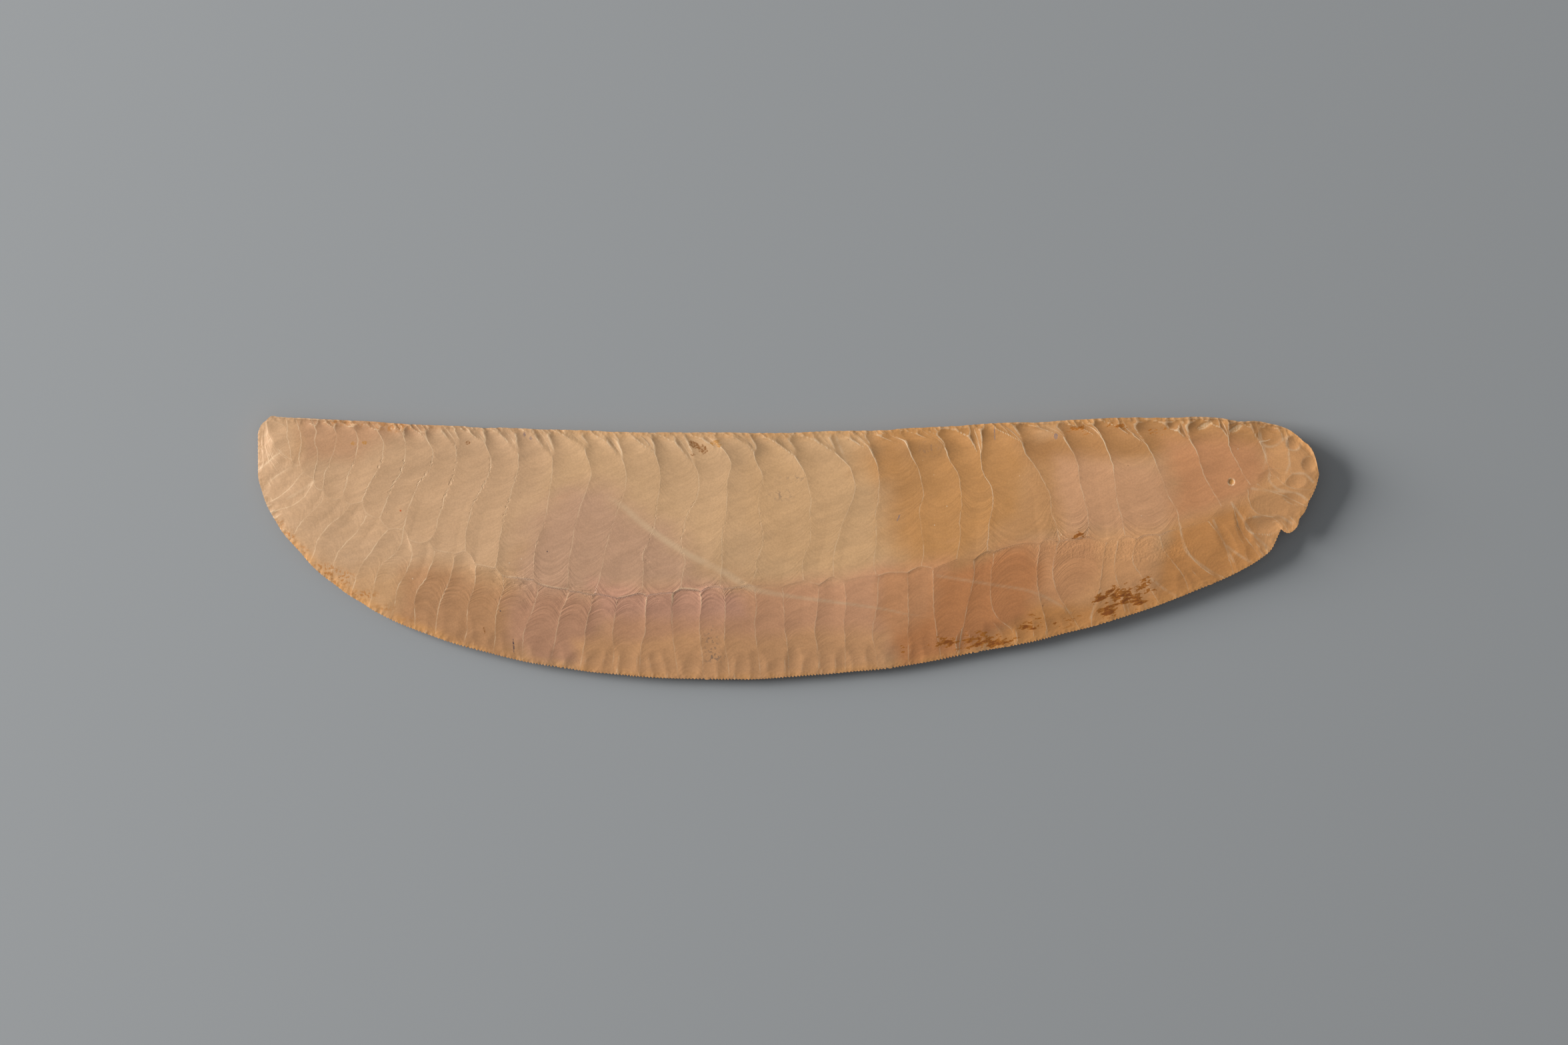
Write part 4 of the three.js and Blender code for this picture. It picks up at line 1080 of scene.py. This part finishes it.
def spotMask(x, y, halfX, halfY, turn, ragged=True):
    # a small patch at a pixel, with a ragged or a smooth border
    vector = placed(*fromPhoto((x, y)), halfX * pixel, halfY * pixel, turn)
    length = addNode("ShaderNodeVectorMath", {0: vector}, operation="LENGTH").outputs["Value"]
    if not ragged:
        return spread(length, 0.3, 1.3, 1.0, 0.0)
    return spread(plus(length, times(grain, 0.9)), 1.25, 1.6, 1.0, 0.0)


# The ridge colour is partly worn stone, partly painted highlight; the colour for dark hollows is partly dirt,
# partly painted shade
palette = {"tan": (0.585, 0.325, 0.150, 1), "vein": (0.64, 0.43, 0.25, 1), "ochre": (0.67, 0.318, 0.100, 1),
           "fleck": (0.44, 0.145, 0.012, 1), "darkFleck": (0.27, 0.07, 0.005, 1),
           "crust": (0.47, 0.19, 0.045, 1), "ridge": (0.76, 0.52, 0.31, 1), "hollowDirtAndShade": (0.36, 0.18, 0.08, 1),
           "speck": (0.16, 0.08, 0.04, 1), "dust": (0.78, 0.6, 0.42, 1), "smudge": (0.17, 0.12, 0.09, 1),
           "residue": (0.29, 0.115, 0.027, 1), "orange": (0.52, 0.235, 0.05, 1),
           "redDot": (0.55, 0.12, 0.03, 1), "ink": (0.05, 0.035, 0.05, 1), "faint": (0.3, 0.19, 0.15, 1),
           "chip": (0.66, 0.42, 0.22, 1)}
# Single spots: colour, middle pixel, half sizes in pixels, turn
spots = [("residue", 1041, 667, 9, 5, -25), ("residue", 1054, 674, 8, 6, -45),
         ("residue", 1039, 682, 3, 2, 0), ("orange", 1072, 664, 8, 4, 15), ("orange", 1078, 668, 4, 3, 0),
         ("orange", 1848, 723, 4, 4, 0), ("redDot", 600, 766, 1.6, 1.6, 0), ("ink", 769, 970, 1.2, 11, 2),
         ("residue", 725, 946, 1.4, 5, 12), ("faint", 1493, 650, 1.2, 10, 3), ("faint", 1585, 654, 3, 5, 0),
         ("orange", 528, 665, 4, 3, 0), ("orange", 545, 664, 4, 3, 0), ("residue", 700, 664, 4, 3, 0),
         ("faint", 785, 652, 2, 4, 0), ("faint", 795, 657, 2, 3, 0), ("ink", 821, 828, 1.3, 1.3, 0),
         ("ink", 750, 917, 1.3, 1.3, 0), ("faint", 1348, 777, 1.2, 6, -25), ("chip", 1809, 638, 12, 4, 30),
         ("chip", 1855, 643, 11, 4, 30)]
# Small dents: middle pixel, half sizes in pixels, turn, depth
dents = [(1848, 723, 5, 5, 0, 3.0), (1809, 638, 13, 5, 30, 3.0), (1855, 643, 12, 5, 30, 3.0)]
color = palette["tan"]
for zoneName, (_, tint, _) in zoneOutlines.items():
    color = mixColor(zoneMask(zoneName), color, (*tint, 1))
# Every pattern makes the stone a little darker and lighter: its span, and both shares of the colour
for pattern, low, high, dark, light in ((wisp, 0.3, 0.7, 0.94, 1.055), (brush, 0.3, 0.7, 0.965, 1.03),
                                        (arcs, 0.25, 0.75, 0.97, 1.025), (mottle, 0.3, 0.7, 0.985, 1.012),
                                        (fact("scarTone"), -1.0, 1.0, 0.98, 1.02),
                                        (grain, 0.25, 0.75, 0.955, 1.045)):
    color = mixColor(1.0, color, spread(spread(pattern, low, high), 0.0, 1.0, dark, light), "MULTIPLY")
# Painted shade: the colour is darkened by up to 18 per cent under the shade blobs
color = mixColor(1.0, color, spread(fact("paintedShadeZone"), 0.0, 1.1, 1.0, 0.82), "MULTIPLY")
color = mixColor(spread(fact("rippleZone"), 0.05, 0.9), color, spread(arcs, 0.3, 0.7, 0.93, 1.07), "MULTIPLY")
# Pale lines along the ridges and the crest: partly worn stone, partly painted highlight
ridgeLine = times(patchy("ridgeNear", 0.84, 0.99, spread(fact("calm"), 0.15, 0.6)), fact("ridgePale"))
ridgeLine = calculate("MAXIMUM", ridgeLine, patchy("crestNear", 0.86, 0.99, fact("crestPale")))
fleckHeight = plus(streak, spread(fact("fleckZone"), 0.05, 1.6, 0.0, 0.3))
inFleck = spread(fact("fleckZone"), 0.1, 0.35)
specks = cellsOf(380)
speckTone = addNode("ShaderNodeSeparateColor", {0: specks.outputs["Color"]}).outputs[0]
dots = spread(specks.outputs["Distance"], 0.035, 0.06, 1.0, 0.0)
# The marks on the stone, one over the other: where each one lies, and its colour; the pale ridge, line and
# crease marks are partly worn stone and partly painted highlight, the dark hollow marks partly dirt and
# partly painted shade
for mask, tint in (
        (patchy("veinNear", 0.2, 0.9, spread(wisp, 0.35, 0.6, 0.4, 0.85)), "vein"),
        (times(ridgeLine, spread(mottle, 0.38, 0.6, 0.1, 0.42)), "ridge"),
        (patchy("lineNear", 0.2, 1.0, spread(mottle, 0.35, 0.6, 0.1, 0.45)), "ridge"),
        (times(patchy("crease", 0.15, 0.55, spread(mottle, 0.3, 0.6, 0.4, 0.85)), fact("calm")), "ridge"),
        # Dark lines in concave creases and at the foot of steps: partly dirt, partly painted shade
        (patchy("hollowDirtAndShade", 0.15, 0.7, times(fact("calm"), 0.4)), "hollowDirtAndShade"),
        (patchy("rimOchre", 0.3, 1.0, spread(mottle, 0.36, 0.6, 0.3, 0.95)), "ochre"),
        (patchy("crustZone", 0.15, 0.8, spread(noise(1500, 3), 0.46, 0.62, 0.0, 0.9)), "crust"),
        (times(spread(fleckHeight, 0.61, 0.65, 0.0, 0.95), inFleck), "fleck"),
        (times(spread(fleckHeight, 0.69, 0.76, 0.0, 0.85), inFleck), "darkFleck"),
        (times(fact("smudgeZone"), spread(noise(1400, 3), 0.53, 0.62)), "smudge"),
        (times(dots, calculate("GREATER_THAN", speckTone, 0.93), 0.6), "speck"),
        (times(dots, calculate("LESS_THAN", speckTone, 0.1), 0.6), "dust")):
    color = mixColor(mask, color, palette[tint])
for tint, x, y, halfX, halfY, turn in spots:
    color = mixColor(times(spotMask(x, y, halfX, halfY, turn), grainy), color, palette[tint])
plug(shader.inputs["Base Color"], color)
plug(shader.inputs["Roughness"], spread(mottle, 0.3, 0.7, 0.42, 0.52))

# Fine relief: ripples, chipped ridges, grain, the rough patch, the chipped rims and a few dents
reliefSetup = {"distance": 0.00003, "grain": 0.35, "mottle": 0.4, "brush": 0.8, "rough": 2.4, "chip": -1.7}
ripple = times(arcs, spread(fact("rippleZone"), 0.1, 1.5, 0.9, 6.5), fact("calm"))
chip = patchy("ridgeNear", 0.6, 0.9, spread(noise(1200, 2), 0.5, 0.7, 0.0, reliefSetup["chip"]))
seam = times(fact("seamZone"), spread(noise(800, 4, 2.5, -8), 0.5, 0.6, 0.0, reliefSetup["chip"]))
chip = plus(times(chip, fact("chipZone")), seam)
rough = patchy("roughZone", 0.3, 0.8, times(noise(1900, 3), reliefSetup["rough"]))
rimChip = times(spread(fact("rimNear"), 0.55, 0.95, 0.0, 2.2), cellsOf(1100).outputs["Distance"])
relief = plus(plus(ripple, chip), plus(rough, times(grain, reliefSetup["grain"])),
              plus(times(mottle, reliefSetup["mottle"]), rimChip), times(brush, reliefSetup["brush"]))
for *spot, depth in dents:
    relief = calculate("SUBTRACT", relief, times(spotMask(*spot, ragged=False), depth))
bump = addNode("ShaderNodeBump", {"Strength": 1.0, "Distance": reliefSetup["distance"], "Height": relief})
plug(shader.inputs["Normal"], bump.outputs["Normal"])
flaked.data.materials.clear()
flaked.data.materials.append(stone)
print("stone coloured")

# Floor, lamps and world
stageSetup = {"floorSize": 8.0, "floorColor": (0.3205, 0.3305, 0.3365, 1.0), "floorRoughness": 0.9,
              "floorDrop": 0.0002, "keySize": 1.12, "keyPower": 79.5, "keyPlace": (-1.9, 0.56, 0.7),
              "worldColor": (0.94, 0.97, 1.0, 1.0), "worldStrength": 0.29}
bpy.ops.object.select_all(action="DESELECT")
floorHeight = bladeLow[2] - stageSetup["floorDrop"]
bpy.ops.mesh.primitive_plane_add(size=stageSetup["floorSize"], location=(0, 0, floorHeight))
floor = bpy.context.object
floor.name = "floor"
floorPaint = bpy.data.materials.new("floor_paint")
floorPaint.use_nodes = True
floorShader = floorPaint.node_tree.nodes["Principled BSDF"]
floorShader.inputs["Base Color"].default_value = stageSetup["floorColor"]
floorShader.inputs["Roughness"].default_value = stageSetup["floorRoughness"]
floor.data.materials.append(floorPaint)
keyPlace = Vector(stageSetup["keyPlace"])
keyTurn = keyPlace.to_track_quat("Z", "Y").to_euler()
bpy.ops.object.light_add(type="AREA", location=keyPlace, rotation=keyTurn)
key = bpy.context.object
key.data.size = stageSetup["keySize"]
key.data.energy = stageSetup["keyPower"]
world = bpy.data.worlds.new("studio")
bpy.context.scene.world = world
world.use_nodes = True
sky = world.node_tree.nodes["Background"]
sky.inputs["Color"].default_value = stageSetup["worldColor"]
sky.inputs["Strength"].default_value = stageSetup["worldStrength"]
bpy.context.scene.view_settings.view_transform = "Standard"
print("stage ready")
